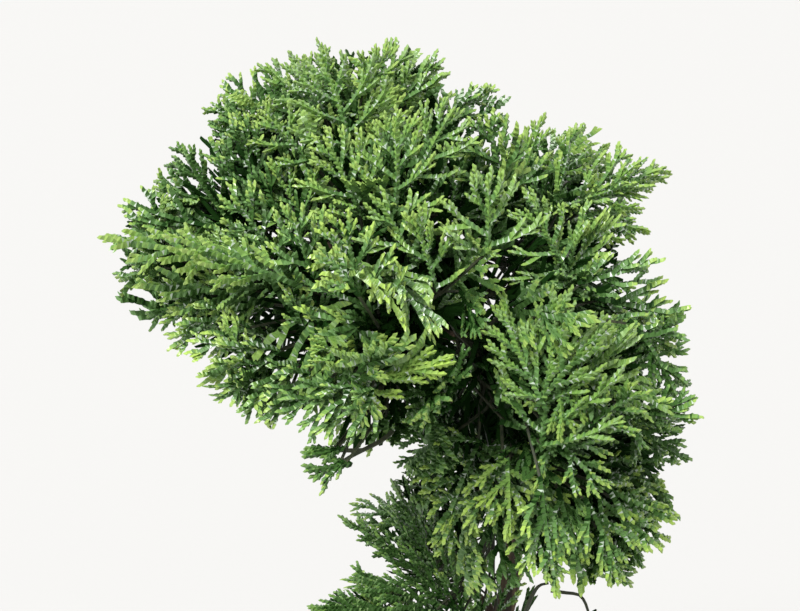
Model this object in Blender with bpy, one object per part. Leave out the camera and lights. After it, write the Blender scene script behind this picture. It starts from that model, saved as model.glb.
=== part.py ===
"""Spiral topiary: a clipped evergreen whose foliage winds round a thin trunk, in a plain round pot.

Metres, +Z up. The origin is the middle of the pot's flat underside. The foliage is one ribbon that
starts at the top of the crown and winds down and round the trunk. It is built as a row of masses. Each
mass keeps to its own space and is carried on its own bough. Its stem runs into a dense core, and
twigs and toothed fans of needles stand out of that core.
"""

import math
import random

import bmesh
import bpy
from mathutils import Vector

# Gap between solids that touch on the real plant.
FIT_GAP = 0.0003

# Pot: a tapered round planter with a plain band at the rim, filled with soil.
POT_HEIGHT = 0.125
POT_FOOT_RADIUS = 0.053
POT_RIM_RADIUS = 0.073
POT_WALL = 0.006
POT_FLOOR = 0.009
RIM_BAND_HEIGHT = 0.020
RIM_BAND_OUT = 0.0035
POT_EDGE = 0.0015
POT_SIDES = 32
SOIL_BELOW_RIM = 0.013
SOIL_CROWNING = 0.004

# Trunk: thin and slightly sinuous, bent over to the middle of the crown near its tip.
SOIL_TOP = POT_HEIGHT - SOIL_BELOW_RIM
TRUNK_FOOT_Z = SOIL_TOP + SOIL_CROWNING + FIT_GAP
TRUNK_BENDS = (
    (0.000, 0.000, TRUNK_FOOT_Z),
    (0.003, -0.002, 0.170),
    (-0.003, 0.003, 0.270),
    (-0.002, 0.001, 0.380),
    (0.002, 0.000, 0.450),
    (0.006, 0.000, 0.495),
    (-0.012, 0.000, 0.545),
    (-0.034, 0.000, 0.588),
    (-0.037, 0.001, 0.606),
)
TRUNK_FOOT_RADIUS = 0.0078
TRUNK_TIP_RADIUS = 0.0026
ROOT_FLARE = 0.0042
ROOT_FLARE_HEIGHT = 0.012
TRUNK_RINGS = 20
TRUNK_SIDES = 9

# Ribbon of foliage, from the top down. Each row holds the azimuth in degrees along the winding, the
# height, the distance from the ribbon's axis, and the size of the mass there. The crown has a mass at
# every row, and the turns below it have masses at even steps between their rows.
CROWN_STATIONS = (
    (0, 0.6070, 0.0450, 1.000),
    (39.2, 0.6116, 0.0503, 1.009),
    (106.5, 0.6258, 0.0398, 1.111),
    (156, 0.6310, 0.0380, 1.050),
    (199, 0.6174, 0.0400, 1.094),
    (260.8, 0.6215, 0.0498, 1.045),
    (312, 0.6030, 0.0490, 1.050),
    (322, 0.5570, 0.0480, 1.000),
    (376, 0.5410, 0.0500, 0.980),
)
LOWER_STATIONS = (
    (430, 0.5220, 0.0454, 0.927),
    (490, 0.4706, 0.0300, 0.830),
    (550, 0.4529, 0.0404, 0.876),
    (670, 0.4286, 0.0476, 1.065),
    (1150, 0.2460, 0.0560, 1.200),
)
LOWER_MASSES = 14
GROWTH = (151, 1, 61, 244, 166, 302, 736, 558, 798, 949, 982, 743, 556, 13)
CROWN_AXIS_X = -0.037
CROWN_AXIS_FROM = 0.480
CROWN_AXIS_TO = 0.590
CAP_CENTRE_Z = 0.6372
CAP_SIZE = 1.116

# Each mass, at size 1: how far it reaches, the half sizes of its core, and its stem.
REACH = 0.045
CORE_OUT = 0.026
CORE_ALONG = 0.024
CORE_UP = 0.020
STEM_RADIUS = 0.0016
STEM_LENGTH = 0.003
STEM_SIDES = 5
CELL_GAP = 0.0020
LIMB_CLEARANCE = 0.0012

# Sprouts on a mass: fans of needles, and a twig with two fans at every third place.
CROWN_SPROUTS = 12
LOWER_SPROUTS = 9
TWIG_EVERY = 3
TRIES = 14
TRIES_APART = 9
SPRAY_LENGTH = 0.029
SPRAY_FINGERS = 5
SPRAY_SPREAD = 130
SPRAY_APART = 0.003
SPRAY_THICKNESS = 0.0018
SPRAY_DROOP = 0.16
FINGER_NOTCH = 0.56
SIDE_FINGER_CUT = 0.38
PALM_OUT = 0.004
ROOT_SUNK = 0.012
ROOT_HALF_WIDTH = 0.0013
TWIG_OUT = 0.011
TWIG_SUNK = 0.010
TWIG_RADIUS = 0.0012
TWIG_TIP_RADIUS = 0.0007
SIDE_SPRAY_TURN = 62
SIDE_SPRAY_SCALE = 0.72

# Boughs.
BOUGH_FOOT_RADIUS = 0.0018
BOUGH_TIP_RADIUS = 0.0015
BOUGH_SIDES = 5
BOUGH_DROP = 0.012
CROWN_BOUGH_DROP = 0.007
BOUGH_ARCH = 0.001
CROWN_FORK_BELOW_TIP = 0.006
CROWN_FORK_STEP = 0.0045
CROWN_HEART = Vector((-0.034, 0, 0.585))

UP = Vector((0, 0, 1))
GOLDEN_ANGLE = math.radians(137.508)
SEED = 7


# Small shared shapes and curves.


def clear_scene():
    """Remove whatever the file opened with."""
    for thing in list(bpy.data.objects):
        bpy.data.objects.remove(thing, do_unlink=True)


def plain_material(name, colour, roughness):
    """A Principled material of one colour."""
    material = bpy.data.materials.new(name)
    material.use_nodes = True
    shader = material.node_tree.nodes["Principled BSDF"]
    shader.inputs["Base Color"].default_value = (*colour, 1.0)
    shader.inputs["Roughness"].default_value = roughness
    shader.inputs["Metallic"].default_value = 0.0
    material.diffuse_color = (*colour, 1.0)
    return material


def new_object(name, mesh, material):
    """Put a finished mesh in the scene with its material."""
    thing = bpy.data.objects.new(name, mesh)
    thing.data.materials.append(material)
    bpy.context.scene.collection.objects.link(thing)
    return thing


def face_outwards(shape):
    """Turn every face of a closed shape outwards."""
    bmesh.ops.recalc_face_normals(shape, faces=shape.faces)
    if shape.calc_volume(signed=True) < 0:
        bmesh.ops.reverse_faces(shape, faces=shape.faces)


def mesh_from(name, points, faces):
    """A mesh whose faces all point outwards."""
    mesh = bpy.data.meshes.new(name)
    mesh.from_pydata([tuple(point) for point in points], [], faces)
    shape = bmesh.new()
    shape.from_mesh(mesh)
    face_outwards(shape)
    shape.to_mesh(mesh)
    shape.free()
    return mesh


def shade_round(mesh):
    """Smooth shading, with edges of over 35 degrees kept sharp."""
    mesh.shade_smooth()
    mesh.set_sharp_from_angle(angle=math.radians(35))


def smooth_step(value, low, high):
    """0 below low, 1 above high, eased between."""
    share = min(1.0, max(0.0, (value - low) / (high - low)))
    return share * share * (3 - 2 * share)


def through_points(points, share):
    """A point on the smooth curve through the given points, with share from 0 to 1 along it."""
    last = len(points) - 1
    place = min(max(share, 0.0), 1.0) * last
    index = min(int(place), last - 1)
    t = place - index
    before, start, end, after = (
        Vector(points[min(max(index + k, 0), last)]) for k in (-1, 0, 1, 2)
    )
    return 0.5 * (
        2 * start
        + (end - before) * t
        + (2 * before - 5 * start + 4 * end - after) * t * t
        + (3 * start - before - 3 * end + after) * t**3
    )


def limb_mesh(name, centres, radii, normals, sides):
    """A tapering limb with flat ends: one ring round each centre, square to its normal."""
    points = []
    side = Vector((0, 1, 0))
    for centre, radius, normal in zip(centres, radii, normals):
        side = (side - normal * side.dot(normal)).normalized()
        other = normal.cross(side)
        for k in range(sides):
            turn = 2 * math.pi * k / sides
            points.append(centre + radius * (math.cos(turn) * side + math.sin(turn) * other))
    faces = []
    for ring in range(len(centres) - 1):
        for k in range(sides):
            a, b = ring * sides + k, ring * sides + (k + 1) % sides
            faces.append((a, b, b + sides, a + sides))
    faces.append(tuple(reversed(range(sides))))
    faces.append(tuple(range(len(points) - sides, len(points))))
    return mesh_from(name, points, faces)


# The pot and its soil.


def turned_mesh(name, profile):
    """A solid turned round the Z axis from (radius, height) points that start and end on the axis."""
    shape = bmesh.new()
    corners = [shape.verts.new((radius, 0, height)) for radius, height in profile]
    edges = [shape.edges.new(pair) for pair in zip(corners, corners[1:])]
    bmesh.ops.spin(
        shape,
        geom=corners + edges,
        cent=(0, 0, 0),
        axis=UP,
        angle=2 * math.pi,
        steps=POT_SIDES,
        use_merge=True,
    )
    bmesh.ops.remove_doubles(shape, verts=shape.verts, dist=1e-6)
    face_outwards(shape)
    mesh = bpy.data.meshes.new(name)
    shape.to_mesh(mesh)
    shape.free()
    shade_round(mesh)
    return mesh


def pot_radius(height):
    """Outer radius of the pot's tapered wall."""
    return POT_FOOT_RADIUS + (POT_RIM_RADIUS - POT_FOOT_RADIUS) * height / POT_HEIGHT


def make_pot(material):
    """The planter, open at the top, with a flat underside."""
    band_foot = POT_HEIGHT - RIM_BAND_HEIGHT
    profile = [
        (0, 0),
        (POT_FOOT_RADIUS - POT_EDGE, 0),
        (POT_FOOT_RADIUS, POT_EDGE),
        (pot_radius(band_foot), band_foot),
        (pot_radius(band_foot) + RIM_BAND_OUT, band_foot + RIM_BAND_OUT),
        (POT_RIM_RADIUS + RIM_BAND_OUT, POT_HEIGHT - POT_EDGE),
        (POT_RIM_RADIUS + RIM_BAND_OUT - POT_EDGE, POT_HEIGHT),
        (POT_RIM_RADIUS - POT_WALL + POT_EDGE, POT_HEIGHT),
        (POT_RIM_RADIUS - POT_WALL, POT_HEIGHT - POT_EDGE),
        (pot_radius(POT_FLOOR) - POT_WALL, POT_FLOOR),
        (0, POT_FLOOR),
    ]
    return new_object("pot", turned_mesh("pot", profile), material)


def make_soil(material):
    """The soil that fills the pot, a little higher round the trunk."""
    foot = POT_FLOOR + FIT_GAP
    inset = POT_WALL + 2 * FIT_GAP
    top = SOIL_TOP + SOIL_CROWNING
    profile = [
        (0, foot),
        (pot_radius(foot) - inset, foot),
        (pot_radius(SOIL_TOP) - inset, SOIL_TOP),
        (0.55 * POT_RIM_RADIUS, SOIL_TOP + 0.6 * SOIL_CROWNING),
        (0.3 * POT_RIM_RADIUS, top),
        (0, top),
    ]
    return new_object("soil", turned_mesh("soil", profile), material)


# The trunk and the boughs.


def trunk_radius(height):
    """The trunk's taper, with the flare at its foot."""
    share = (height - TRUNK_FOOT_Z) / (TRUNK_BENDS[-1][2] - TRUNK_FOOT_Z)
    taper = TRUNK_FOOT_RADIUS + (TRUNK_TIP_RADIUS - TRUNK_FOOT_RADIUS) * share**0.8
    return taper + ROOT_FLARE * math.exp(-(height - TRUNK_FOOT_Z) / ROOT_FLARE_HEIGHT)


def trunk_rings():
    """Centres and radii of the trunk's rings, closer together at the flared foot."""
    shares = [(k / (TRUNK_RINGS - 1)) ** 1.2 for k in range(TRUNK_RINGS)]
    centres = [through_points(TRUNK_BENDS, share) for share in shares]
    return centres, [trunk_radius(centre.z) for centre in centres]


def trunk_at(height):
    """Centre, radius and direction of the trunk where it passes a height."""
    centres, radii = trunk_rings()
    for k in range(TRUNK_RINGS - 1):
        if height <= centres[k + 1].z:
            break
    share = (height - centres[k].z) / (centres[k + 1].z - centres[k].z)
    centre = centres[k].lerp(centres[k + 1], share)
    radius = radii[k] + (radii[k + 1] - radii[k]) * share
    return centre, radius, (centres[k + 1] - centres[k]).normalized()


def make_trunk(material):
    """The whole trunk, from its flat cut at the soil to the tip under the cap of foliage."""
    centres, radii = trunk_rings()
    chords = [(b - a).normalized() for a, b in zip(centres, centres[1:])]
    normals = [UP] + [(a + b).normalized() for a, b in zip(chords, chords[1:])] + [UP]
    mesh = limb_mesh("trunk", centres, radii, normals, TRUNK_SIDES)
    shade_round(mesh)
    return new_object("trunk", mesh, material)


def bough_rings(mass):
    """Centres, radii and normals of the bough from the trunk to the mass's stem."""
    tip = mass["entry"] + mass["inward"] * FIT_GAP
    trunk, radius, upward = trunk_at(mass["fork_z"])
    outward = tip - trunk
    outward = (outward - upward * outward.dot(upward)).normalized()
    foot = trunk + outward * (radius + FIT_GAP)
    heading = (tip - foot).normalized()
    middle = foot.lerp(tip, 0.5) + UP * BOUGH_ARCH
    return (
        [foot, foot.lerp(middle, 0.3), middle, tip],
        [BOUGH_FOOT_RADIUS, 0.9 * BOUGH_FOOT_RADIUS, BOUGH_TIP_RADIUS, BOUGH_TIP_RADIUS],
        [outward, (outward + heading).normalized(), heading, -mass["inward"]],
    )


def make_bough(mass, material):
    """One tapering limb from the trunk to a mass."""
    name = mass["name"].replace("foliage", "bough")
    mesh = limb_mesh(name, *bough_rings(mass), BOUGH_SIDES)
    shade_round(mesh)
    return new_object(name, mesh, material)


def limb_runs(masses):
    """Every straight run of the trunk and the boughs: where it starts and ends, and its radius."""
    centres, radii = trunk_rings()
    runs = list(zip(centres, centres[1:], radii))
    for mass in masses:
        if mass["fork_z"] is not None:
            centres, radii, _ = bough_rings(mass)
            runs += list(zip(centres, centres[1:], radii))
    return runs


# Where the masses of foliage are.


def ribbon_axis(height):
    """Where the ribbon's axis stands: over the pot low down, and over to one side at the crown."""
    return Vector((CROWN_AXIS_X * smooth_step(height, CROWN_AXIS_FROM, CROWN_AXIS_TO), 0, height))


def lower_station(azimuth):
    """Height, distance from the axis and size of the lower turns at an azimuth along their winding."""
    for above, below in zip(LOWER_STATIONS, LOWER_STATIONS[1:]):
        if azimuth <= below[0]:
            share = (azimuth - above[0]) / (below[0] - above[0])
            return tuple(a + (b - a) * share for a, b in zip(above[1:], below[1:]))
    return LOWER_STATIONS[-1][1:]


def all_stations():
    """The crown's rows, then rows at even steps down the lower turns."""
    first, last = LOWER_STATIONS[0][0], LOWER_STATIONS[-1][0]
    lower = []
    for k in range(LOWER_MASSES):
        azimuth = first + (last - first) * k / (LOWER_MASSES - 1)
        lower.append((azimuth, *lower_station(azimuth)))
    return [*CROWN_STATIONS, *lower]


def growth_number(index):
    """The number that starts a mass's draws: picked for those of the crown, its own for the rest."""
    return GROWTH[index] if index < len(GROWTH) else index


def plan_cap():
    """The mass on the trunk's tip. Its stem meets the trunk, so it has no bough."""
    centre = Vector((CROWN_AXIS_X, 0, CAP_CENTRE_Z))
    return {
        "name": "foliage_cap",
        "centre": centre,
        "out": Vector((1, 0, 0)),
        "along": Vector((0, 1, 0)),
        "core": (CORE_ALONG * CAP_SIZE, CORE_ALONG * CAP_SIZE, CORE_UP * CAP_SIZE),
        "size": CAP_SIZE,
        "sprouts": CROWN_SPROUTS,
        "growth": growth_number(0),
        "heart": CROWN_HEART,
        "entry": Vector(TRUNK_BENDS[-1]) + UP * FIT_GAP,
        "inward": -UP,
        "fork_z": None,
    }


def plan_ribbon_mass(index, azimuth, height, distance, size):
    """One mass of the ribbon: its centre, directions and core, and where its stem comes out."""
    turn = math.radians(azimuth)
    out = Vector((math.cos(turn), math.sin(turn), 0))
    along = UP.cross(out)
    centre = ribbon_axis(height) + out * distance
    core = (CORE_OUT * size, CORE_ALONG * size, CORE_UP * size)
    in_crown = index < len(CROWN_STATIONS)
    fork_top = TRUNK_BENDS[-1][2] - CROWN_FORK_BELOW_TIP - CROWN_FORK_STEP * (index % 5)
    fork_z = min(height - (CROWN_BOUGH_DROP if in_crown else BOUGH_DROP), fork_top)
    inward = (trunk_at(fork_z)[0] - centre).normalized()
    parts = (inward.dot(out) / core[0], inward.dot(along) / core[1], inward.z / core[2])
    core_depth = 1 / math.hypot(*parts)
    return {
        "name": f"foliage_{index + 1:02d}",
        "centre": centre,
        "out": out,
        "along": along,
        "core": core,
        "size": size,
        "sprouts": CROWN_SPROUTS if in_crown else LOWER_SPROUTS,
        "growth": growth_number(index + 1),
        "heart": CROWN_HEART if in_crown else trunk_at(fork_z)[0],
        "entry": centre + inward * (core_depth + STEM_LENGTH),
        "inward": inward,
        "fork_z": fork_z,
    }


def plan_masses():
    """Every mass, from the cap down, with the walls of its own space."""
    masses = [plan_cap()]
    for index, station in enumerate(all_stations()):
        masses.append(plan_ribbon_mass(index, *station))
    for mass in masses:
        mass["walls"] = cell_walls(mass, masses)
    return masses


def cell_walls(mass, masses):
    """The planes that bound a mass's own space: each one's direction, and its distance from the centre."""
    walls = []
    for other in masses:
        across = other["centre"] - mass["centre"]
        distance = across.length
        if 0 < distance < 4 * REACH:
            bias = REACH**2 * (mass["size"] ** 2 - other["size"] ** 2)
            walls.append((across / distance, 0.5 * (distance + bias / distance - CELL_GAP)))
    return walls


def inside_cell(point, mass):
    """True if the point is in the mass's own space."""
    return all((point - mass["centre"]).dot(across) <= limit for across, limit in mass["walls"])


def held_in_cell(point, mass):
    """The point, brought back into the mass's own space if it lies outside it."""
    for across, limit in mass["walls"]:
        beyond = (point - mass["centre"]).dot(across) - limit
        if beyond > 0:
            point = point - across * beyond
    return point


def clear_of_limbs(point, limbs):
    """True if the point is outside every limb by the clearance."""
    for start, end, radius in limbs:
        run = end - start
        share = min(1.0, max(0.0, (point - start).dot(run) / run.length_squared))
        if (point - start - run * share).length < radius + LIMB_CLEARANCE:
            return False
    return True


# How a mass grows: sprouts spread evenly over its core.


def core_surface(mass, direction):
    """The point and outward normal on the core in a direction given in the mass's own axes."""
    axes = (mass["out"], mass["along"], UP)
    point, normal = mass["centre"].copy(), Vector()
    for axis, part, half in zip(axes, direction, mass["core"]):
        point += axis * part * half
        normal += axis * part / half
    return point, normal.normalized()


def even_direction(index, count, start):
    """The index-th of count directions spread evenly over a ball by the golden angle."""
    rise = 1 - 2 * (index + 0.5) / count
    turn = index * GOLDEN_ANGLE + start
    ring = math.sqrt(1 - rise * rise)
    return ring * math.cos(turn), ring * math.sin(turn), rise


def new_spray(root, root_half_width, palm, axis, face, length, draw):
    """A fan of needles: its root, its palm, the way it grows, the way it faces, and its fingers."""
    return {
        "root": root,
        "root_half_width": root_half_width,
        "palm": palm,
        "axis": axis,
        "face": face,
        "length": length,
        "fingers": [draw.uniform(0.88, 1.06) for _ in range(2 * SPRAY_FINGERS - 1)],
    }


def fan_outline(spray):
    """The outline of a fan: its narrow root, then its fingers and the notches between them."""
    palm, axis, face = spray["palm"], spray["axis"], spray["face"]
    side = face.cross(axis)
    points = [spray["root"] - side * spray["root_half_width"]]
    for k, finger in enumerate(spray["fingers"]):
        across = 2 * k / (len(spray["fingers"]) - 1) - 1
        turn = 0.5 * across * math.radians(SPRAY_SPREAD)
        reach = spray["length"] * finger * (1 - SIDE_FINGER_CUT * abs(across) ** 1.6)
        if k % 2:
            reach *= FINGER_NOTCH
        sag = SPRAY_DROOP * reach * reach / spray["length"]
        points.append(palm + (axis * math.cos(turn) + side * math.sin(turn)) * reach - face * sag)
    points.append(spray["root"] + side * spray["root_half_width"])
    return points


def spray_probes(spray):
    """The points of a fan that are tested against its space, the limbs and the other fans."""
    edge = fan_outline(spray)[1:-1]
    return edge + [point.lerp(spray["palm"], 0.5) for point in edge] + [spray["palm"]]


def fits(probes, mass, limbs, taken):
    """True if the points keep to the mass's space, clear of the limbs and of the fans there already."""
    for point in probes:
        if not inside_cell(point, mass) or not clear_of_limbs(point, limbs):
            return False
        if any((point - other).length < SPRAY_APART for other in taken):
            return False
    return True


def plan_growth(mass, limbs):
    """The fans and twigs of a mass. A sprout that finds no room in the mass's own space is skipped."""
    index = mass["growth"]
    draw = random.Random(SEED * 1000 + index)
    sprays, twigs, taken = [], [], []
    for k in range(mass["sprouts"]):
        surface, normal = core_surface(mass, even_direction(k, mass["sprouts"], index))
        if not inside_cell(surface, mass):
            continue
        on_twig = k % TWIG_EVERY == 0
        spray = fitted_spray(mass, limbs, taken, surface, normal, on_twig, draw)
        if spray is None:
            continue
        sprays.append(spray)
        taken += spray_probes(spray)
        if on_twig:
            foot = held_in_cell(spray["palm"] - spray["axis"] * (TWIG_OUT + TWIG_SUNK), mass)
            twigs.append((foot, spray["palm"]))
            branch = side_spray(spray, draw)
            if fits(spray_probes(branch), mass, limbs, []):
                sprays.append(branch)
                taken += spray_probes(branch)
    return sprays, twigs


def outward_way(mass, surface, normal):
    """The way that growth leans on the core's surface: away from the heart that feeds the mass."""
    away = (surface - mass["heart"]).normalized()
    way = away - normal * away.dot(normal)
    if way.length < 0.05:
        way += 0.2 * (UP - normal * normal.z)
    return way.normalized()


def fitted_spray(mass, limbs, taken, surface, normal, on_twig, draw):
    """One fan at a place on the core, turned and shortened until it fits, or None."""
    onward = outward_way(mass, surface, normal)
    for attempt in range(TRIES):
        swing = math.radians(draw.uniform(-45, 45) * (1 + 0.15 * attempt))
        lean = math.radians(draw.uniform(48, 66) + 12 * abs(normal.z) - (14 if on_twig else 0))
        length = SPRAY_LENGTH * mass["size"] * draw.uniform(0.9, 1.12) * (1 - 0.04 * attempt)
        way = onward * math.cos(swing) + normal.cross(onward) * math.sin(swing)
        axis = normal * math.cos(lean) + way * math.sin(lean)
        face = normal * math.sin(lean) - way * math.cos(lean)
        if on_twig:
            palm = surface + axis * TWIG_OUT
            root, half_width = palm - axis * 0.7 * TWIG_OUT, 0.4 * TWIG_RADIUS
            length *= 0.85
        else:
            palm = surface + axis * PALM_OUT
            root, half_width = held_in_cell(surface - axis * ROOT_SUNK, mass), ROOT_HALF_WIDTH
        spray = new_spray(root, half_width, palm, axis, face, length, draw)
        others = taken if attempt < TRIES_APART else []
        if fits(spray_probes(spray), mass, limbs, others):
            return spray
    return None


def side_spray(spray, draw):
    """A smaller fan that branches off a twig, to one side of the fan at its tip."""
    side = spray["face"].cross(spray["axis"]) * draw.choice((-1, 1))
    turn = math.radians(SIDE_SPRAY_TURN)
    axis = spray["axis"] * math.cos(turn) + side * math.sin(turn)
    root = spray["palm"] - spray["axis"] * 0.55 * TWIG_OUT
    palm = root + axis * 1.6 * PALM_OUT
    face = spray["face"] + 0.35 * side
    face = (face - axis * face.dot(axis)).normalized()
    length = SIDE_SPRAY_SCALE * spray["length"]
    return new_spray(root, 0.4 * TWIG_RADIUS, palm, axis, face, length, draw)


# The solids of a mass.


def core_solid(mass):
    """The dense middle of a mass: a ball drawn out to its half sizes, kept in the mass's own space."""
    shape = bmesh.new()
    bmesh.ops.create_icosphere(shape, subdivisions=2, radius=1.0)
    for corner in shape.verts:
        point, _ = core_surface(mass, corner.co.normalized())
        corner.co = held_in_cell(point, mass)
    mesh = bpy.data.meshes.new("core")
    shape.to_mesh(mesh)
    shape.free()
    return mesh


def stem_solid(mass):
    """The mass's own short stem, from where it meets its bough to the middle of the core."""
    heading = (mass["centre"] - mass["entry"]).normalized()
    centres = [mass["entry"], mass["entry"] + heading * STEM_LENGTH, mass["centre"]]
    radii = [STEM_RADIUS, STEM_RADIUS, 0.7 * STEM_RADIUS]
    return limb_mesh("stem", centres, radii, [-mass["inward"], heading, heading], STEM_SIDES)


def twig_solid(foot, tip):
    """A three-sided twig from inside the core to the palm of the fan at its tip."""
    heading = (tip - foot).normalized()
    return limb_mesh("twig", [foot, tip], [TWIG_RADIUS, TWIG_TIP_RADIUS], [heading] * 2, 3)


def spray_solid(spray):
    """A fan with a toothed edge: thickest at the palm, drawn out thin to its fingers."""
    outline = fan_outline(spray)
    count = len(outline)
    half = spray["face"] * 0.5 * SPRAY_THICKNESS
    points = outline + [spray["palm"] + half, spray["palm"] - half]
    faces = []
    for k in range(count):
        after = (k + 1) % count
        faces += [(k, after, count), (after, k, count + 1)]
    return mesh_from("spray", points, faces)


def make_mass(mass, limbs, material):
    """Core, stem, twigs and fans, fused into one closed solid."""
    sprays, twigs = plan_growth(mass, limbs)
    solids = [stem_solid(mass)]
    solids += [twig_solid(foot, tip) for foot, tip in twigs]
    solids += [spray_solid(spray) for spray in sprays]
    growth = bpy.data.collections.new("growth")
    bpy.context.scene.collection.children.link(growth)
    for solid in solids:
        growth.objects.link(bpy.data.objects.new("growth", solid))
    body = new_object(mass["name"], core_solid(mass), material)
    fuse(body, growth)
    keep_main_shell(body.data)
    for thing in list(growth.objects):
        bpy.data.objects.remove(thing, do_unlink=True)
    bpy.data.collections.remove(growth)
    return body


def fuse(body, growth):
    """One Boolean union of a body with everything in a collection, applied."""
    union = body.modifiers.new("fused", "BOOLEAN")
    union.operation = "UNION"
    union.operand_type = "COLLECTION"
    union.collection = growth
    union.solver = "EXACT"
    bpy.context.view_layer.update()
    evaluated = body.evaluated_get(bpy.context.evaluated_depsgraph_get())
    fused = bpy.data.meshes.new_from_object(evaluated)
    body.modifiers.clear()
    body.data = fused


def keep_main_shell(mesh):
    """Fill sealed hollows and drop loose scraps: only the largest shell stays."""
    shape = bmesh.new()
    shape.from_mesh(mesh)
    left = set(shape.faces)
    shells = []
    while left:
        shell, reached = [], [left.pop()]
        while reached:
            face = reached.pop()
            shell.append(face)
            for edge in face.edges:
                fresh = left.intersection(edge.link_faces)
                left -= fresh
                reached += fresh
        shells.append(shell)
    shells.sort(key=len)
    scraps = [face for shell in shells[:-1] for face in shell]
    bmesh.ops.delete(shape, geom=scraps, context="FACES")
    shape.to_mesh(mesh)
    shape.free()


def main():
    clear_scene()
    clay = plain_material("pot_clay", (0.62, 0.60, 0.56), 0.7)
    earth = plain_material("potting_soil", (0.07, 0.045, 0.03), 0.95)
    bark = plain_material("trunk_bark", (0.20, 0.13, 0.08), 0.85)
    needles = plain_material("scale_foliage", (0.08, 0.22, 0.05), 0.55)
    make_pot(clay)
    make_soil(earth)
    make_trunk(bark)
    masses = plan_masses()
    limbs = limb_runs(masses)
    for mass in masses:
        if mass["fork_z"] is not None:
            make_bough(mass, bark)
        make_mass(mass, limbs, needles)


main()
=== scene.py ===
# %% [markdown]
# # A spiral topiary, dressed over its solid model
#
# The plant is a clipped dwarf cypress: one ribbon of foliage that winds down a thin trunk, in a
# plain round pot. The solid model already says where every mass, bough and the pot are. This
# script gives them the surface that the real plant has: bark, soil, fired clay and many
# thousands of small overlapping scale leaves.
#
# A plant can be dressed with pictures of leaves on cards, with particles, or with real meshes.
# Meshes are used here, because they keep their outline from every side and survive an export.

# %% Load the fixed frame
import math
import random
from functools import partial

import bpy
import numpy as np
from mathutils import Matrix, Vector, noise


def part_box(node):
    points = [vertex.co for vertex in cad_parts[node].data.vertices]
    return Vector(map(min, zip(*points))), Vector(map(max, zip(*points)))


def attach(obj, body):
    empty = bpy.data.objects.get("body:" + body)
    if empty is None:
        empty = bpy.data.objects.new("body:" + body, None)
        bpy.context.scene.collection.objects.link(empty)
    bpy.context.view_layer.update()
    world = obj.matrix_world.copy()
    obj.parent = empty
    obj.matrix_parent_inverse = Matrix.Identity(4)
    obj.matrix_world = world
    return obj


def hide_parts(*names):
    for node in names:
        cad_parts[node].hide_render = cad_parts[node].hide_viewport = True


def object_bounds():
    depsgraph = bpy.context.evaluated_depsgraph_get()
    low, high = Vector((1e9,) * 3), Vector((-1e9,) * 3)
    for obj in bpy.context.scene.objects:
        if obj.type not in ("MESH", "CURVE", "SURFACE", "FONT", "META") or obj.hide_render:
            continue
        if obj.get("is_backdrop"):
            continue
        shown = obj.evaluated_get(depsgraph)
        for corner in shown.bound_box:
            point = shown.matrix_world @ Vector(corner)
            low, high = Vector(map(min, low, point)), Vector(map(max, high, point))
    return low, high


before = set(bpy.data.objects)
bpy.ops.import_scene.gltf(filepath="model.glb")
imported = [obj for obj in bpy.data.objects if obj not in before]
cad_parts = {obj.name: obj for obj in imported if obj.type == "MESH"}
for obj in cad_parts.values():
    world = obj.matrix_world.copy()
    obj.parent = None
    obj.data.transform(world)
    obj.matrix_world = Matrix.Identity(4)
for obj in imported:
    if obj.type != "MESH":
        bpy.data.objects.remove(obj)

cad_box = [list(corner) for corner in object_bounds()]
print("solid model:", [[round(value, 4) for value in corner] for corner in cad_box])


def nothing_selected():
    """Leave edit mode and deselect everything, so that an operator acts on new work alone."""
    if bpy.context.object and bpy.context.object.mode == "EDIT":
        bpy.ops.object.mode_set(mode="OBJECT")
    bpy.ops.object.select_all(action="DESELECT")


def new_object(name, mesh):
    """An object of its own for a mesh, in the scene."""
    thing = bpy.data.objects.new(name, mesh)
    bpy.context.scene.collection.objects.link(thing)
    return thing


# %% [markdown]
# ## The studio
#
# The plant stands on a white sweep under a large soft light. A tabletop sweep could be a curved
# sheet, but a floor that runs far past the view gives the same empty white and casts no edge.
# The camera looks down on the crown from close by, a little longer than a normal lens.

# %% Camera
CAMERA_LENS = 54.5
CAMERA_DISTANCE = 0.40
CAMERA_RISE = math.radians(28)
CAMERA_AIM = Vector((-0.035, 0.0, 0.600))
CAMERA_NEAREST = 0.01


def add_camera():
    """The camera, on the front side, aimed at the middle of the crown."""
    back = Vector((0, -math.cos(CAMERA_RISE), math.sin(CAMERA_RISE)))
    nothing_selected()
    bpy.ops.object.camera_add(location=CAMERA_AIM + back * CAMERA_DISTANCE)
    camera = bpy.context.object
    camera.rotation_euler = (-back).to_track_quat("-Z", "Y").to_euler()
    camera.data.lens = CAMERA_LENS
    camera.data.clip_start = CAMERA_NEAREST
    bpy.context.scene.camera = camera
    return camera


print("camera at", [round(value, 3) for value in add_camera().location])

# %% Lights and floor
KEY_STRENGTH = 4.3
KEY_SOFTNESS = math.radians(28)
KEY_FROM = Vector((-0.55, -0.50, 1.25))
SKY_STRENGTH = 0.69
FLOOR_SIZE = 24.0
FLOOR_WHITE = (0.498, 0.494, 0.484, 1.0)
FLOOR_ROUGHNESS = 0.9


def add_key_light():
    """A broad light from the upper left front, with the soft shadows of a studio softbox."""
    nothing_selected()
    bpy.ops.object.light_add(type="SUN", location=KEY_FROM)
    light = bpy.context.object
    light.name = "key_light"
    light.rotation_euler = KEY_FROM.to_track_quat("Z", "Y").to_euler()
    light.data.energy = KEY_STRENGTH
    light.data.angle = KEY_SOFTNESS


def add_sky():
    """Even white light from all round, as a white room gives."""
    world = bpy.data.worlds.new("white_room")
    world.use_nodes = True
    sky = world.node_tree.nodes["Background"]
    sky.inputs["Color"].default_value = (1.0, 1.0, 1.0, 1.0)
    sky.inputs["Strength"].default_value = SKY_STRENGTH
    bpy.context.scene.world = world


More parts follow.
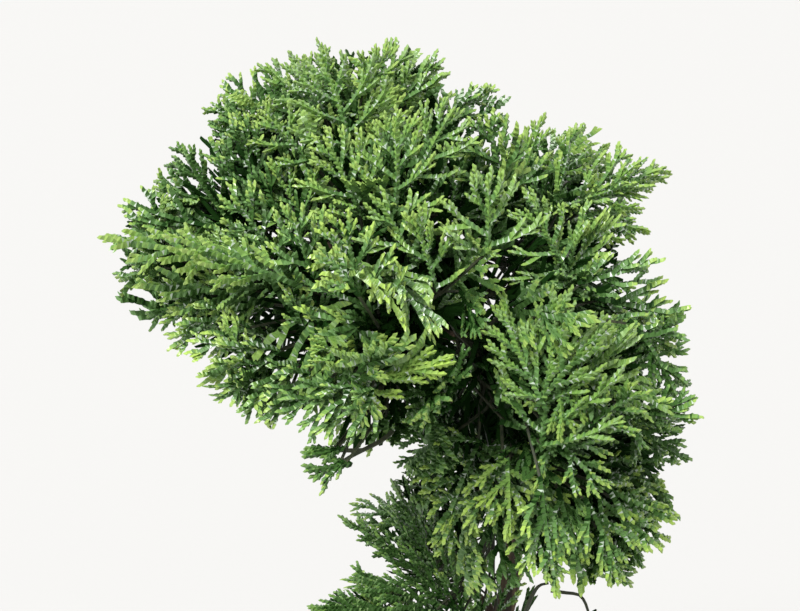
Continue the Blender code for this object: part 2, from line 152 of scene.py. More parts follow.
def add_floor():
    """A plain pale floor that fills the view."""
    nothing_selected()
    bpy.ops.mesh.primitive_plane_add(size=FLOOR_SIZE)
    floor = bpy.context.object
    floor.name = "studio_floor"
    paper = bpy.data.materials.new("white_paper")
    paper.use_nodes = True
    shader = paper.node_tree.nodes["Principled BSDF"]
    shader.inputs["Base Color"].default_value = FLOOR_WHITE
    shader.inputs["Roughness"].default_value = FLOOR_ROUGHNESS
    floor.data.materials.append(paper)
    floor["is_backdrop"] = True


add_key_light()
add_sky()
add_floor()
bpy.context.scene.view_settings.view_transform = "Standard"
print("studio ready")

# %% [markdown]
# ## One grain for many finishes
#
# Clay, soil, bark and leaf wax all have a fine grain that makes them patchy: a little lighter
# here, a little rougher there. It is built once as a node group that puts out a mask from 0 to 1
# and a height for a Bump node. Each material then gives it its own scale and stretch.

# %% The grain group


def make_grain_group():
    """A node group: object-space noise of a given scale, drawn out along one axis."""
    group = bpy.data.node_groups.new("fine_grain", "ShaderNodeTree")
    sockets = group.interface
    for name in ("Scale", "Detail", "Low", "High"):
        sockets.new_socket(name=name, in_out="INPUT", socket_type="NodeSocketFloat")
    sockets.new_socket(name="Stretch", in_out="INPUT", socket_type="NodeSocketVector")
    for name in ("Mask", "Height"):
        sockets.new_socket(name=name, in_out="OUTPUT", socket_type="NodeSocketFloat")
    nodes, links = group.nodes, group.links
    given, out = nodes.new("NodeGroupInput"), nodes.new("NodeGroupOutput")
    place, scaled = nodes.new("ShaderNodeTexCoord"), nodes.new("ShaderNodeVectorMath")
    scaled.operation = "MULTIPLY"
    grain, spread = nodes.new("ShaderNodeTexNoise"), nodes.new("ShaderNodeMapRange")
    for source, target in (
        (place.outputs["Object"], scaled.inputs[0]),
        (given.outputs["Stretch"], scaled.inputs[1]),
        (scaled.outputs[0], grain.inputs["Vector"]),
        (given.outputs["Scale"], grain.inputs["Scale"]),
        (given.outputs["Detail"], grain.inputs["Detail"]),
        (grain.outputs["Fac"], spread.inputs["Value"]),
        (given.outputs["Low"], spread.inputs["From Min"]),
        (given.outputs["High"], spread.inputs["From Max"]),
        (spread.outputs["Result"], out.inputs["Mask"]),
        (grain.outputs["Fac"], out.inputs["Height"]),
    ):
        links.new(source, target)
    return group


GRAIN = make_grain_group()

# %% What each material takes from it


def add_grain(material, scale, stretch=(1.0, 1.0, 1.0), detail=4.0, low=0.35, high=0.65):
    """Place the grain group in a material with its own values."""
    node = material.node_tree.nodes.new("ShaderNodeGroup")
    node.node_tree = GRAIN
    values = {"Scale": scale, "Detail": detail, "Low": low, "High": high, "Stretch": stretch}
    for name, value in values.items():
        node.inputs[name].default_value = value
    return node


def mixed_colour(material, mask, dark, light):
    """A colour that goes from dark to light with a mask."""
    node = material.node_tree.nodes.new("ShaderNodeMix")
    node.data_type = "RGBA"
    node.inputs["A"].default_value = (*dark, 1.0)
    node.inputs["B"].default_value = (*light, 1.0)
    material.node_tree.links.new(mask, node.inputs["Factor"])
    return node.outputs["Result"]


def set_colour(material, colour):
    """Lead a colour to the shader's base colour."""
    tree = material.node_tree
    tree.links.new(colour, tree.nodes["Principled BSDF"].inputs["Base Color"])


def vary_roughness(material, mask, low, high):
    """Roughness that goes from low to high with a mask."""
    tree = material.node_tree
    node = tree.nodes.new("ShaderNodeMapRange")
    node.inputs["To Min"].default_value = low
    node.inputs["To Max"].default_value = high
    tree.links.new(mask, node.inputs["Value"])
    tree.links.new(node.outputs["Result"], tree.nodes["Principled BSDF"].inputs["Roughness"])


def add_bump(material, height, strength, distance):
    """A Bump node on the shader's normal, fed with a height."""
    tree = material.node_tree
    node = tree.nodes.new("ShaderNodeBump")
    node.inputs["Strength"].default_value = strength
    node.inputs["Distance"].default_value = distance
    tree.links.new(height, node.inputs["Height"])
    tree.links.new(node.outputs["Normal"], tree.nodes["Principled BSDF"].inputs["Normal"])


print("grain group has", len(GRAIN.nodes), "nodes")

# %% [markdown]
# ## Materials of pot, soil and bark
#
# The pot is matt stoneware: a warm grey body with faint speckles. The soil is dark and crumbly.
# The bark is the dull red-brown of a young cypress, pale on its ridges and dark in its furrows,
# so its colour is drawn out along the trunk like its relief. Both its colours are also made darker
# overall, as painted shade.

# %% A material to start from


def new_material(name):
    """An empty node material."""
    material = bpy.data.materials.new(name)
    material.use_nodes = True
    return material


# %% Pottery clay
CLAY_GREYS = (0.43, 0.41, 0.38), (0.50, 0.48, 0.45)
CLAY_SPECKLE = (0.24, 0.21, 0.18, 1.0)
CLAY_ROUGHNESS = (0.62, 0.80)
CLAY_BUMP = (0.25, 0.0006)


def clay_finish():
    """Matt stoneware: broad clouds of two warm greys, and fine speckles in the relief."""
    clay = new_material("matt_stoneware")
    clouds = add_grain(clay, 60.0, low=0.3, high=0.7)
    speckle = add_grain(clay, 1500.0, detail=2.0, low=0.30, high=0.42)
    tree = clay.node_tree
    body = mixed_colour(clay, clouds.outputs["Mask"], *CLAY_GREYS)
    dots = tree.nodes.new("ShaderNodeMix")
    dots.data_type = "RGBA"
    dots.inputs["A"].default_value = CLAY_SPECKLE
    tree.links.new(speckle.outputs["Mask"], dots.inputs["Factor"])
    tree.links.new(body, dots.inputs["B"])
    set_colour(clay, dots.outputs["Result"])
    vary_roughness(clay, clouds.outputs["Mask"], *CLAY_ROUGHNESS)
    add_bump(clay, speckle.outputs["Height"], *CLAY_BUMP)
    return clay


# %% Soil and bark
# Dark potting soil with paler fibres.
SOIL_LOOK = {
    "colours": ((0.018, 0.011, 0.007), (0.10, 0.062, 0.035)),
    "roughness": (0.85, 1.0),
    "bump": (0.8, 0.0012),
    "grain": {"scale": 500.0, "detail": 6.0},
}
# Fibrous bark, streaked along the trunk, its colours darkened overall as painted shade.
BARK_LOOK = {
    "colours": ((0.024, 0.016, 0.010), (0.150, 0.102, 0.064)),
    "roughness": (0.75, 0.95),
    "bump": (0.7, 0.0008),
    "grain": {"scale": 420.0, "stretch": (1.0, 1.0, 0.14), "detail": 6.0},
}


def two_toned_finish(name, look):
    """A dull finish whose colour, roughness and relief all follow one grain."""
    material = new_material(name)
    grain = add_grain(material, **look["grain"])
    set_colour(material, mixed_colour(material, grain.outputs["Mask"], *look["colours"]))
    vary_roughness(material, grain.outputs["Mask"], *look["roughness"])
    add_bump(material, grain.outputs["Height"], *look["bump"])
    return material


CLAY = clay_finish()
SOIL = two_toned_finish("potting_soil", SOIL_LOOK)
BARK = two_toned_finish("cypress_bark", BARK_LOOK)
print("made", [material.name for material in (CLAY, SOIL, BARK)])

# %% [markdown]
# ## The pot
#
# A thrown planter is one clay wall: a flat foot, a taper, a plain band at the rim, and the same
# taper inside. It could be turned from a drawn profile. Here a disc is raised ring by ring
# with extrude and scale, as a potter pulls a wall, and a Bevel modifier then softens the edges.

# %% Pot sizes, taken from the frame
pot_low, pot_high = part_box("pot")
POT_HEIGHT = pot_high.z
POT_RIM_OUT = 0.5 * (pot_high.x - pot_low.x)
POT_WALL = 0.006
POT_FLOOR = 0.009
RIM_BAND_HEIGHT = 0.020
RIM_BAND_OUT = 0.0035
POT_RIM_RADIUS = POT_RIM_OUT - RIM_BAND_OUT
POT_FOOT_RADIUS = 0.053
POT_SIDES = 128
POT_WALL_RINGS = 6
print(f"pot: {POT_HEIGHT:.3f} high, {2 * POT_RIM_OUT:.3f} across")


def pot_radius(height):
    """Outer radius of the tapered wall."""
    return POT_FOOT_RADIUS + (POT_RIM_RADIUS - POT_FOOT_RADIUS) * height / POT_HEIGHT


def raise_rings(rings):
    """Extrude the selected ring through (radius, height) places, scaling about the pot's axis."""
    for (radius, height), (next_radius, next_height) in zip(rings, rings[1:]):
        bpy.ops.mesh.extrude_region_move(
            TRANSFORM_OT_translate={"value": (0, 0, next_height - height)}
        )
        share = next_radius / radius
        bpy.ops.transform.resize(value=(share, share, 1), center_override=(0, 0, next_height))


# %% Pot
POT_EDGE = 0.0015
POT_EDGE_FACES = 3
POT_EDGE_ANGLE = math.radians(20)
POT_SMOOTH_ANGLE = math.radians(35)
POT_HOLLOW_START = 0.004


def make_pot():
    """The planter: its outer wall, its rim, and the hollow that the soil fills."""
    band = POT_HEIGHT - RIM_BAND_HEIGHT
    rings = [(POT_FOOT_RADIUS, 0.0)]
    heights = [band * k / POT_WALL_RINGS for k in range(1, POT_WALL_RINGS + 1)]
    rings += [(pot_radius(height), height) for height in heights]
    rings += [
        (pot_radius(band) + RIM_BAND_OUT, band + RIM_BAND_OUT),
        (POT_RIM_OUT, POT_HEIGHT),
        (POT_RIM_RADIUS - POT_WALL, POT_HEIGHT),
        (pot_radius(band) - POT_WALL, band),
        (pot_radius(POT_FLOOR) - POT_WALL, POT_FLOOR),
        (POT_HOLLOW_START, POT_FLOOR),
    ]
    nothing_selected()
    bpy.ops.mesh.primitive_circle_add(
        vertices=POT_SIDES, radius=POT_FOOT_RADIUS, fill_type="NGON", location=(0, 0, 0)
    )
    pot = bpy.context.object
    pot.name = "planter"
    bpy.ops.object.mode_set(mode="EDIT")
    bpy.ops.mesh.select_all(action="SELECT")
    raise_rings(rings)
    bpy.ops.mesh.select_all(action="SELECT")
    bpy.ops.mesh.normals_make_consistent(inside=False)
    bpy.ops.object.mode_set(mode="OBJECT")
    edge = pot.modifiers.new("soft_edges", "BEVEL")
    edge.width = POT_EDGE
    edge.segments = POT_EDGE_FACES
    edge.limit_method = "ANGLE"
    edge.angle_limit = POT_EDGE_ANGLE
    bpy.ops.object.modifier_apply(modifier=edge.name)
    bpy.ops.object.shade_smooth_by_angle(angle=POT_SMOOTH_ANGLE)
    pot.data.materials.append(CLAY)
    return pot


pot = make_pot()
print("pot faces:", len(pot.data.polygons))

# %% [markdown]
# ## The soil
#
# Seen from above, potting soil is an uneven surface with crumbs and bits of bark on it. A flat
# disc with a bump map reads as painted. So a disc is cut into many small faces, lifted by noise,
# and strewn with crumbs. One crumb is modelled from a low ball, then copied, turned and joined.

# %% Soil
SOIL_BELOW_RIM = 0.013
SOIL_TOP = POT_HEIGHT - SOIL_BELOW_RIM
SOIL_CROWNING = 0.004
SOIL_GAP = 0.0006
SOIL_RADIUS = pot_radius(SOIL_TOP) - POT_WALL - SOIL_GAP
SOIL_FOOT = POT_FLOOR + 0.5 * SOIL_GAP
SOIL_FOOT_RADIUS = pot_radius(SOIL_FOOT) - POT_WALL - SOIL_GAP
SOIL_RELIEF = 0.0012
SOIL_SUNK = 0.4
SOIL_LUMPS_PER_METRE = 160
# How much finer lumps fade, how much finer each layer of them is, and how many layers.
SOIL_NOISE = (0.9, 2.1, 4)
SOIL_SIDES = 96
SOIL_RINGS = 26
SOIL_SMOOTH_ANGLE = math.radians(50)


def soil_height(x, y):
    """Height of the soil: a little higher round the trunk, and uneven all over."""
    share = min(1.0, math.hypot(x, y) / SOIL_RADIUS)
    lumps = noise.fractal(Vector((x, y, 0)) * SOIL_LUMPS_PER_METRE, *SOIL_NOISE)
    return SOIL_TOP + SOIL_CROWNING * (1 - share * share) + SOIL_RELIEF * (lumps - SOIL_SUNK)


def make_soil():
    """The plug of soil: a closed drum with a finely cut, uneven top."""
    nothing_selected()
    bpy.ops.mesh.primitive_cylinder_add(
        vertices=SOIL_SIDES,
        radius=SOIL_RADIUS,
        depth=SOIL_TOP - SOIL_FOOT,
        location=(0, 0, 0.5 * (SOIL_TOP + SOIL_FOOT)),
    )
    bpy.ops.object.transform_apply(location=True, rotation=False, scale=False)
    soil = bpy.context.object
    soil.name = "soil_plug"
    bpy.ops.object.mode_set(mode="EDIT")
    bpy.ops.mesh.select_mode(type="FACE")
    bpy.ops.mesh.select_all(action="DESELECT")
    bpy.ops.object.mode_set(mode="OBJECT")
    for face in soil.data.polygons:
        face.select = face.normal.z > 0.9
    bpy.ops.object.mode_set(mode="EDIT")
    for _ in range(SOIL_RINGS):
        bpy.ops.mesh.inset(thickness=SOIL_RADIUS / (SOIL_RINGS + 2), use_even_offset=False)
    bpy.ops.mesh.poke()
    bpy.ops.object.mode_set(mode="OBJECT")
    foot_share = SOIL_FOOT_RADIUS / SOIL_RADIUS
    for corner in soil.data.vertices:
        if corner.co.z > 0.5 * SOIL_TOP:
            corner.co.z = soil_height(corner.co.x, corner.co.y)
        else:
            corner.co.x *= foot_share
            corner.co.y *= foot_share
    bpy.ops.object.shade_smooth_by_angle(angle=SOIL_SMOOTH_ANGLE)
    soil.data.materials.append(SOIL)
    return soil


soil = make_soil()
print("soil faces:", len(soil.data.polygons))

# %% Crumbs on the soil
CRUMBS = 420
CRUMB_SIZES = (0.0007, 0.0026)
CRUMB_SHAPE = (1.0, 0.75, 0.6)
CRUMB_DENTS = 0.35
CRUMB_SEED = 11
CRUMB_FROM_EDGE = 1.5
CRUMB_LIFT = 0.2


def make_crumb():
    """One crumb: a low ball, squashed and dented."""
    nothing_selected()
    bpy.ops.mesh.primitive_ico_sphere_add(subdivisions=1, radius=1.0)
    crumb = bpy.context.object
    bpy.ops.object.mode_set(mode="EDIT")
    bpy.ops.mesh.select_all(action="SELECT")
    bpy.ops.transform.resize(value=CRUMB_SHAPE)
    bpy.ops.transform.vertex_random(offset=CRUMB_DENTS, seed=3)
    bpy.ops.object.mode_set(mode="OBJECT")
    return crumb


def strew_crumbs():
    """Copies of the crumb over the soil, each turned and sized by a seeded draw, then joined."""
    draw = random.Random(CRUMB_SEED)
    crumb = make_crumb()
    bits = []
    for _ in range(CRUMBS):
        size = CRUMB_SIZES[0] + (CRUMB_SIZES[1] - CRUMB_SIZES[0]) * draw.random() ** 3
        reach = (SOIL_RADIUS - CRUMB_FROM_EDGE * size) * math.sqrt(draw.random())
        turn = draw.uniform(0, 2 * math.pi)
        x, y = reach * math.cos(turn), reach * math.sin(turn)
        bit = new_object("crumb", crumb.data.copy())
        bit.location = (x, y, soil_height(x, y) + CRUMB_LIFT * size)
        bit.rotation_euler = [draw.uniform(0, 2 * math.pi) for _ in range(3)]
        bit.scale = (size, size, size)
        bits.append(bit)
    bpy.data.objects.remove(crumb, do_unlink=True)
    nothing_selected()
    for bit in bits:
        bit.select_set(True)
    bpy.context.view_layer.objects.active = bits[0]
    bpy.ops.object.join()
    bpy.ops.object.transform_apply(location=True, rotation=True, scale=True)
    crumbs = bpy.context.object
    crumbs.name = "soil_crumbs"
    crumbs.data.materials.append(SOIL)
    return crumbs


crumbs = strew_crumbs()
print("crumb faces:", len(crumbs.data.polygons))

# %% [markdown]
# ## The plan of the plant
#
# The solid model grew the plant by a rule: a bent trunk, a ribbon of places down and round it, and
# a mass of foliage at each place that keeps to its own space. The same rule is written again
# here, because the fine growth has to start from the same limbs and stay within the same reach.

# %% Trunk rule
UP = Vector((0, 0, 1))
FIT_GAP = 0.0003
TRUNK_FOOT_Z = SOIL_TOP + SOIL_CROWNING + FIT_GAP
TRUNK_BENDS = (
    (0.000, 0.000, TRUNK_FOOT_Z),
    (0.003, -0.002, 0.170),
    (-0.003, 0.003, 0.270),
    (-0.002, 0.001, 0.380),
    (0.002, 0.000, 0.450),
    (0.006, 0.000, 0.495),
    (-0.012, 0.000, 0.545),
    (-0.034, 0.000, 0.588),
    (-0.037, 0.001, 0.606),
)
TRUNK_FOOT_RADIUS = 0.0078
TRUNK_TIP_RADIUS = 0.0026
ROOT_FLARE = 0.0042
ROOT_FLARE_HEIGHT = 0.012
TRUNK_RINGS = 20


def smooth_step(value, low, high):
    """0 below low, 1 above high, eased between."""
    share = min(1.0, max(0.0, (value - low) / (high - low)))
    return share * share * (3 - 2 * share)


def through_points(points, share):
    """A point on the smooth curve through the given points, with share from 0 to 1 along it."""
    last = len(points) - 1
    place = min(max(share, 0.0), 1.0) * last
    index = min(int(place), last - 1)
    t = place - index
    before, start, end, after = (
        Vector(points[min(max(index + k, 0), last)]) for k in (-1, 0, 1, 2)
    )
    return 0.5 * (
        2 * start
        + (end - before) * t
        + (2 * before - 5 * start + 4 * end - after) * t * t
        + (3 * start - before - 3 * end + after) * t**3
    )


def trunk_radius(height):
    """The trunk's taper, with the flare at its foot."""
    share = (height - TRUNK_FOOT_Z) / (TRUNK_BENDS[-1][2] - TRUNK_FOOT_Z)
    taper = TRUNK_FOOT_RADIUS + (TRUNK_TIP_RADIUS - TRUNK_FOOT_RADIUS) * share**0.8
    return taper + ROOT_FLARE * math.exp(-(height - TRUNK_FOOT_Z) / ROOT_FLARE_HEIGHT)


# %% Trunk, ring by ring
TRUNK_SHARES = [(k / (TRUNK_RINGS - 1)) ** 1.2 for k in range(TRUNK_RINGS)]
TRUNK_CENTRES = [through_points(TRUNK_BENDS, share) for share in TRUNK_SHARES]
TRUNK_RADII = [trunk_radius(centre.z) for centre in TRUNK_CENTRES]


def trunk_at(height):
    """Centre, radius and direction of the trunk where it passes a height."""
    for k in range(TRUNK_RINGS - 1):
        if height <= TRUNK_CENTRES[k + 1].z:
            break
    low, high = TRUNK_CENTRES[k], TRUNK_CENTRES[k + 1]
    share = (height - low.z) / (high.z - low.z)
    radius = TRUNK_RADII[k] + (TRUNK_RADII[k + 1] - TRUNK_RADII[k]) * share
    return low.lerp(high, share), radius, (high - low).normalized()


print(f"trunk: foot {TRUNK_RADII[0] * 2000:.1f} mm, tip {TRUNK_RADII[-1] * 2000:.1f} mm thick")

# %% Rows of the ribbon: azimuth, height, distance from the axis and size
CROWN_STATIONS = (
    (0, 0.6070, 0.0450, 1.000),
    (39.2, 0.6116, 0.0503, 1.009),
    (106.5, 0.6258, 0.0398, 1.111),
    (156, 0.6310, 0.0380, 1.050),
    (199, 0.6174, 0.0400, 1.094),
    (260.8, 0.6215, 0.0498, 1.045),
    (312, 0.6030, 0.0490, 1.050),
    (322, 0.5570, 0.0480, 1.000),
    (376, 0.5410, 0.0500, 0.980),
)
LOWER_STATIONS = (
    (430, 0.5220, 0.0454, 0.927),
    (490, 0.4706, 0.0300, 0.830),
    (550, 0.4529, 0.0404, 0.876),
    (670, 0.4286, 0.0476, 1.065),
    (1150, 0.2460, 0.0560, 1.200),
)
LOWER_MASSES = 14
GROWTH = (151, 1, 61, 244, 166, 302, 736, 558, 798, 949, 982, 743, 556, 13)

# %% Sizes of the masses and their limbs
CROWN_AXIS_X = -0.037
CROWN_AXIS_FROM = 0.480
CROWN_AXIS_TO = 0.590
CAP_CENTRE_Z = 0.6372
CAP_SIZE = 1.116
REACH = 0.045
CORE_OUT = 0.026
CORE_ALONG = 0.024
CORE_UP = 0.020
STEM_LENGTH = 0.003
BOUGH_DROP = 0.012
CROWN_BOUGH_DROP = 0.007
CROWN_FORK_BELOW_TIP = 0.006
CROWN_FORK_STEP = 0.0045
CROWN_FORKS = 5

# %% Places down the ribbon


def lower_station(azimuth):
    """Height, distance from the axis and size of the lower turns at an azimuth along them."""
    for above, below in zip(LOWER_STATIONS, LOWER_STATIONS[1:]):
        if azimuth <= below[0]:
            share = (azimuth - above[0]) / (below[0] - above[0])
            return tuple(a + (b - a) * share for a, b in zip(above[1:], below[1:]))
    return LOWER_STATIONS[-1][1:]


def all_stations():
    """The crown's rows, then rows at even steps down the lower turns."""
    first, last = LOWER_STATIONS[0][0], LOWER_STATIONS[-1][0]
    lower = []
    for k in range(LOWER_MASSES):
        azimuth = first + (last - first) * k / (LOWER_MASSES - 1)
        lower.append((azimuth, *lower_station(azimuth)))
    return [*CROWN_STATIONS, *lower]


def growth_number(index):
    """The number that starts a mass's draws: picked for those of the crown, its own for the rest."""
    return GROWTH[index] if index < len(GROWTH) else index


# %% The plan of one mass


def plan_cap():
    """The mass on the trunk's tip."""
    return {
        "name": "cap",
        "centre": Vector((CROWN_AXIS_X, 0, CAP_CENTRE_Z)),
        "out": Vector((1, 0, 0)),
        "along": Vector((0, 1, 0)),
        "core": (CORE_ALONG * CAP_SIZE, CORE_ALONG * CAP_SIZE, CORE_UP * CAP_SIZE),
        "size": CAP_SIZE,
        "in_crown": True,
        "growth": growth_number(0),
        "entry": Vector(TRUNK_BENDS[-1]) + UP * FIT_GAP,
        "inward": -UP,
        "fork_z": None,
    }


def plan_ribbon_mass(index, azimuth, height, distance, size):
    """One mass of the ribbon: its centre, directions and core, and where its bough comes in."""
    turn = math.radians(azimuth)
    out = Vector((math.cos(turn), math.sin(turn), 0))
    axis_x = CROWN_AXIS_X * smooth_step(height, CROWN_AXIS_FROM, CROWN_AXIS_TO)
    centre = Vector((axis_x, 0, height)) + out * distance
    core = (CORE_OUT * size, CORE_ALONG * size, CORE_UP * size)
    in_crown = index < len(CROWN_STATIONS)
    fork_top = TRUNK_BENDS[-1][2] - CROWN_FORK_BELOW_TIP - CROWN_FORK_STEP * (index % CROWN_FORKS)
    fork_z = min(height - (CROWN_BOUGH_DROP if in_crown else BOUGH_DROP), fork_top)
    inward = (trunk_at(fork_z)[0] - centre).normalized()
    along = UP.cross(out)
    parts = (inward.dot(out) / core[0], inward.dot(along) / core[1], inward.z / core[2])
    return {
        "name": f"{index + 1:02d}",
        "centre": centre,
        "out": out,
        "along": along,
        "core": core,
        "size": size,
        "in_crown": in_crown,
        "growth": growth_number(index + 1),
        "entry": centre + inward * (1 / math.hypot(*parts) + STEM_LENGTH),
        "inward": inward,
        "fork_z": fork_z,
    }


MASSES = [plan_cap()]
MASSES += [plan_ribbon_mass(index, *station) for index, station in enumerate(all_stations())]
print("masses:", len(MASSES), "of which in the crown:", sum(m["in_crown"] for m in MASSES))

# %% [markdown]
# ## Trunk and boughs
#
# Young cypress bark is fibrous: long strips that lift a little and split along the trunk. A bump
# map alone leaves a smooth outline, so the relief is cut into the mesh. A straight post is
# modelled once, divided into rings, and laid along the limb's own line with its relief.

# %% A post to shape limbs from


def make_post(sides, cuts):
    """A straight post one unit high and round. Its walls are divided into rings, cut by cut."""
    nothing_selected()
    bpy.ops.mesh.primitive_cylinder_add(vertices=sides, radius=1.0, depth=1.0, location=(0, 0, 0.5))
    bpy.ops.object.transform_apply(location=True, rotation=False, scale=False)
    post = bpy.context.object
    for number in cuts:
        bpy.ops.object.mode_set(mode="EDIT")
        bpy.ops.mesh.select_mode(type="EDGE")
        bpy.ops.mesh.select_all(action="DESELECT")
        bpy.ops.object.mode_set(mode="OBJECT")
        corners = post.data.vertices
        for edge in post.data.edges:
            low, high = (corners[k].co.z for k in edge.vertices)
            edge.select = abs(high - low) > 1e-4
        bpy.ops.object.mode_set(mode="EDIT")
        bpy.ops.mesh.subdivide(number_cuts=number - 1)
        bpy.ops.object.mode_set(mode="OBJECT")
    return post


# %% Laying a post along a line


def limb_frames(path, count):
    """Points along a path, with two directions square to it that never flip."""
    centres = [path(k / (count - 1)) for k in range(count)]
    frames = []
    side = Vector((0, 1, 0))
    for k in range(count):
        heading = (centres[min(k + 1, count - 1)] - centres[max(k - 1, 0)]).normalized()
        side = (side - heading * side.dot(heading)).normalized()
        frames.append((centres[k], side, heading.cross(side)))
    return frames


def lay_post(post, rings, name, path, radius, relief):
    """A copy of the post, with its own mesh, laid along a path: radius and relief give its skin."""
    frames = limb_frames(path, rings)
    limb = new_object(name, post.data.copy())
    for corner in limb.data.vertices:
        share = corner.co.z
        centre, side, other = frames[round(share * (rings - 1))]
        turn = math.atan2(corner.co.y, corner.co.x)
        thick = radius(share) * (1 + relief(turn, share))
        corner.co = centre + thick * (math.cos(turn) * side + math.sin(turn) * other)
    limb.data.materials.append(BARK)
    limb.data.shade_smooth()
    return limb


# %% Trunk
TRUNK_POST_SIDES = 56
TRUNK_POST_CUTS = (14, 20)
BARK_STRIPS = 3.4
BARK_STRIP_LENGTH = 0.020
BARK_DEPTH = 0.085
BARK_NOISE = (0.9, 2.2, 4)
BARK_LUMP_LENGTH = 0.016
BARK_LUMP_DEPTH = 0.06
TRUNK_LENGTH = TRUNK_BENDS[-1][2] - TRUNK_FOOT_Z


def bark_relief(turn, share):
    """Ridges and furrows of the bark, as a share of the radius."""
    height = share * TRUNK_LENGTH
    round_x, round_y = BARK_STRIPS * math.cos(turn), BARK_STRIPS * math.sin(turn)
    strips = noise.fractal(Vector((round_x, round_y, height / BARK_STRIP_LENGTH)), *BARK_NOISE)
    lumps = noise.noise(Vector((math.cos(turn), math.sin(turn), height / BARK_LUMP_LENGTH)))
    return BARK_DEPTH * (0.5 - abs(strips)) + BARK_LUMP_DEPTH * lumps


def make_trunk():
    """The trunk, from its cut at the soil to the tip under the cap."""
    post = make_post(TRUNK_POST_SIDES, TRUNK_POST_CUTS)
    rings = math.prod(TRUNK_POST_CUTS) + 1
    path = partial(through_points, TRUNK_BENDS)

    def radius(share):
        return trunk_radius(path(share).z)

    trunk = lay_post(post, rings, "trunk_bark", path, radius, bark_relief)
    bpy.data.objects.remove(post, do_unlink=True)
    return trunk


trunk = make_trunk()
print("trunk faces:", len(trunk.data.polygons))

# %% Boughs
BOUGH_FOOT_RADIUS = 0.0018
BOUGH_TIP_RADIUS = 0.0015
BOUGH_ARCH = 0.001
BOUGH_POST_SIDES = 12
BOUGH_POST_CUTS = 25
BOUGH_SUNK = 0.0022
BOUGH_PAST_ENTRY = 0.010
COLLAR_THICK = 0.0016
COLLAR_SHARE = 0.07
BOUGH_LUMPS_ROUND = 1.6
BOUGH_LUMPS_ALONG = 5
BOUGH_LUMP_DEPTH = 0.20
BOUGH_NOISE = (0.9, 2.2, 3)
BOUGH_NOISE_START = 20
BOUGH_NOISE_APART = 7
BOUGH_SHOULDER = 0.9
BOUGH_FIRST_BEND = 0.3


def bough_line(mass):
    """The bough's own points, from the trunk to the mass's stem, and their radii."""
    tip = mass["entry"] + mass["inward"] * FIT_GAP
    trunk_centre, thick, upward = trunk_at(mass["fork_z"])
    outward = tip - trunk_centre
    outward = (outward - upward * outward.dot(upward)).normalized()
    foot = trunk_centre + outward * (thick + FIT_GAP)
    middle = foot.lerp(tip, 0.5) + UP * BOUGH_ARCH
    shoulder = BOUGH_SHOULDER * BOUGH_FOOT_RADIUS
    radii = [BOUGH_FOOT_RADIUS, shoulder, BOUGH_TIP_RADIUS, BOUGH_TIP_RADIUS]
    return [foot, foot.lerp(middle, BOUGH_FIRST_BEND), middle, tip], radii, outward


def limb_runs():
    """Every straight run of the trunk and the boughs: start, end and radius."""
    runs = list(zip(TRUNK_CENTRES, TRUNK_CENTRES[1:], TRUNK_RADII))
    for mass in MASSES:
        if mass["fork_z"] is not None:
            points, radii, _ = bough_line(mass)
            runs += list(zip(points, points[1:], radii))
    return runs


def make_bough(mass, post):
    """One bough, sunk into the trunk with a small collar, and ending inside its mass."""
    (foot, *onward), _, outward = bough_line(mass)
    end = mass["entry"] - mass["inward"] * BOUGH_PAST_ENTRY
    line = [foot - outward * BOUGH_SUNK, *onward, end]
    shift = BOUGH_NOISE_START + BOUGH_NOISE_APART * mass["centre"].x / REACH

    def radius(share):
        taper = BOUGH_FOOT_RADIUS + (BOUGH_TIP_RADIUS - BOUGH_FOOT_RADIUS) * share
        return taper + COLLAR_THICK * math.exp(-share / COLLAR_SHARE)

    def relief(turn, share):
        x, y = BOUGH_LUMPS_ROUND * math.cos(turn), BOUGH_LUMPS_ROUND * math.sin(turn)
        lumps = noise.fractal(Vector((x, y, BOUGH_LUMPS_ALONG * share + shift)), *BOUGH_NOISE)
        return BOUGH_LUMP_DEPTH * lumps

    path = partial(through_points, line)
    return lay_post(post, BOUGH_POST_CUTS + 1, f"bark_{mass['name']}", path, radius, relief)


bough_post = make_post(BOUGH_POST_SIDES, [BOUGH_POST_CUTS])
boughs = {
    mass["name"]: make_bough(mass, bough_post) for mass in MASSES if mass["fork_z"] is not None
}
bpy.data.objects.remove(bough_post, do_unlink=True)
print("boughs:", len(boughs))

# %% [markdown]
# ## A spray, and the scaly fingers it is made of
#
# Cypress foliage has no separate leaves. Tiny scales overlap in pairs along every shoot, so a
# shoot looks like a flat, toothed finger with a ridge. Fingers fork from fingers in one plane,
# and the whole flat fan is called a spray. Its foot is old, dark and waxy, and in most tones it is
# painted near black as well, as shade inside the mass. Its tips are this year's growth, bright lime
# green.
#
# A picture of a spray on a card would be flat and square-edged close up. Scales modelled one by
# one would need too many faces. So a finger is one closed strip with a ridge down its middle.
# Its two edges are wide and narrow by turns, out of step with each other, which reads as
# overlapping scales for six triangles a row. A few scales look older or younger than their
# neighbours, and a few carry a small pale fleck that is partly wax and partly a painted glint.
# The underside takes a zone or two darker than the top, as painted shade.

# %% Zones of a spray, and measures of a finger
ZONES = ("foot", "stem", "body", "late", "tip", "wax_glint")
FOOT, STEM, BODY, LATE, TIP, WAX_GLINT = range(len(ZONES))
NARROW = 0.58
# For a wide corner and a hollow one: lift as a share of the ridge, place as a share of a step.
EDGE_LIFT = (-0.14, -0.42)
EDGE_AHEAD = (0.90, 0.45)
# How unevenly the ridge rises and the edges spread.
RIDGE_RISE = (0.72, 1.14)
UNEVEN = (0.84, 1.14)
LATE_SHARE = 0.9
ZONE_JITTER = 0.07
# The darker zone that the underside takes below each zone of the top: painted shade.
UNDERSIDE_SHADE = (FOOT, FOOT, STEM, BODY, BODY, STEM)
TAPER_RINGS = 4
TAPER_END = 0.55
POINT_REACH = 0.75
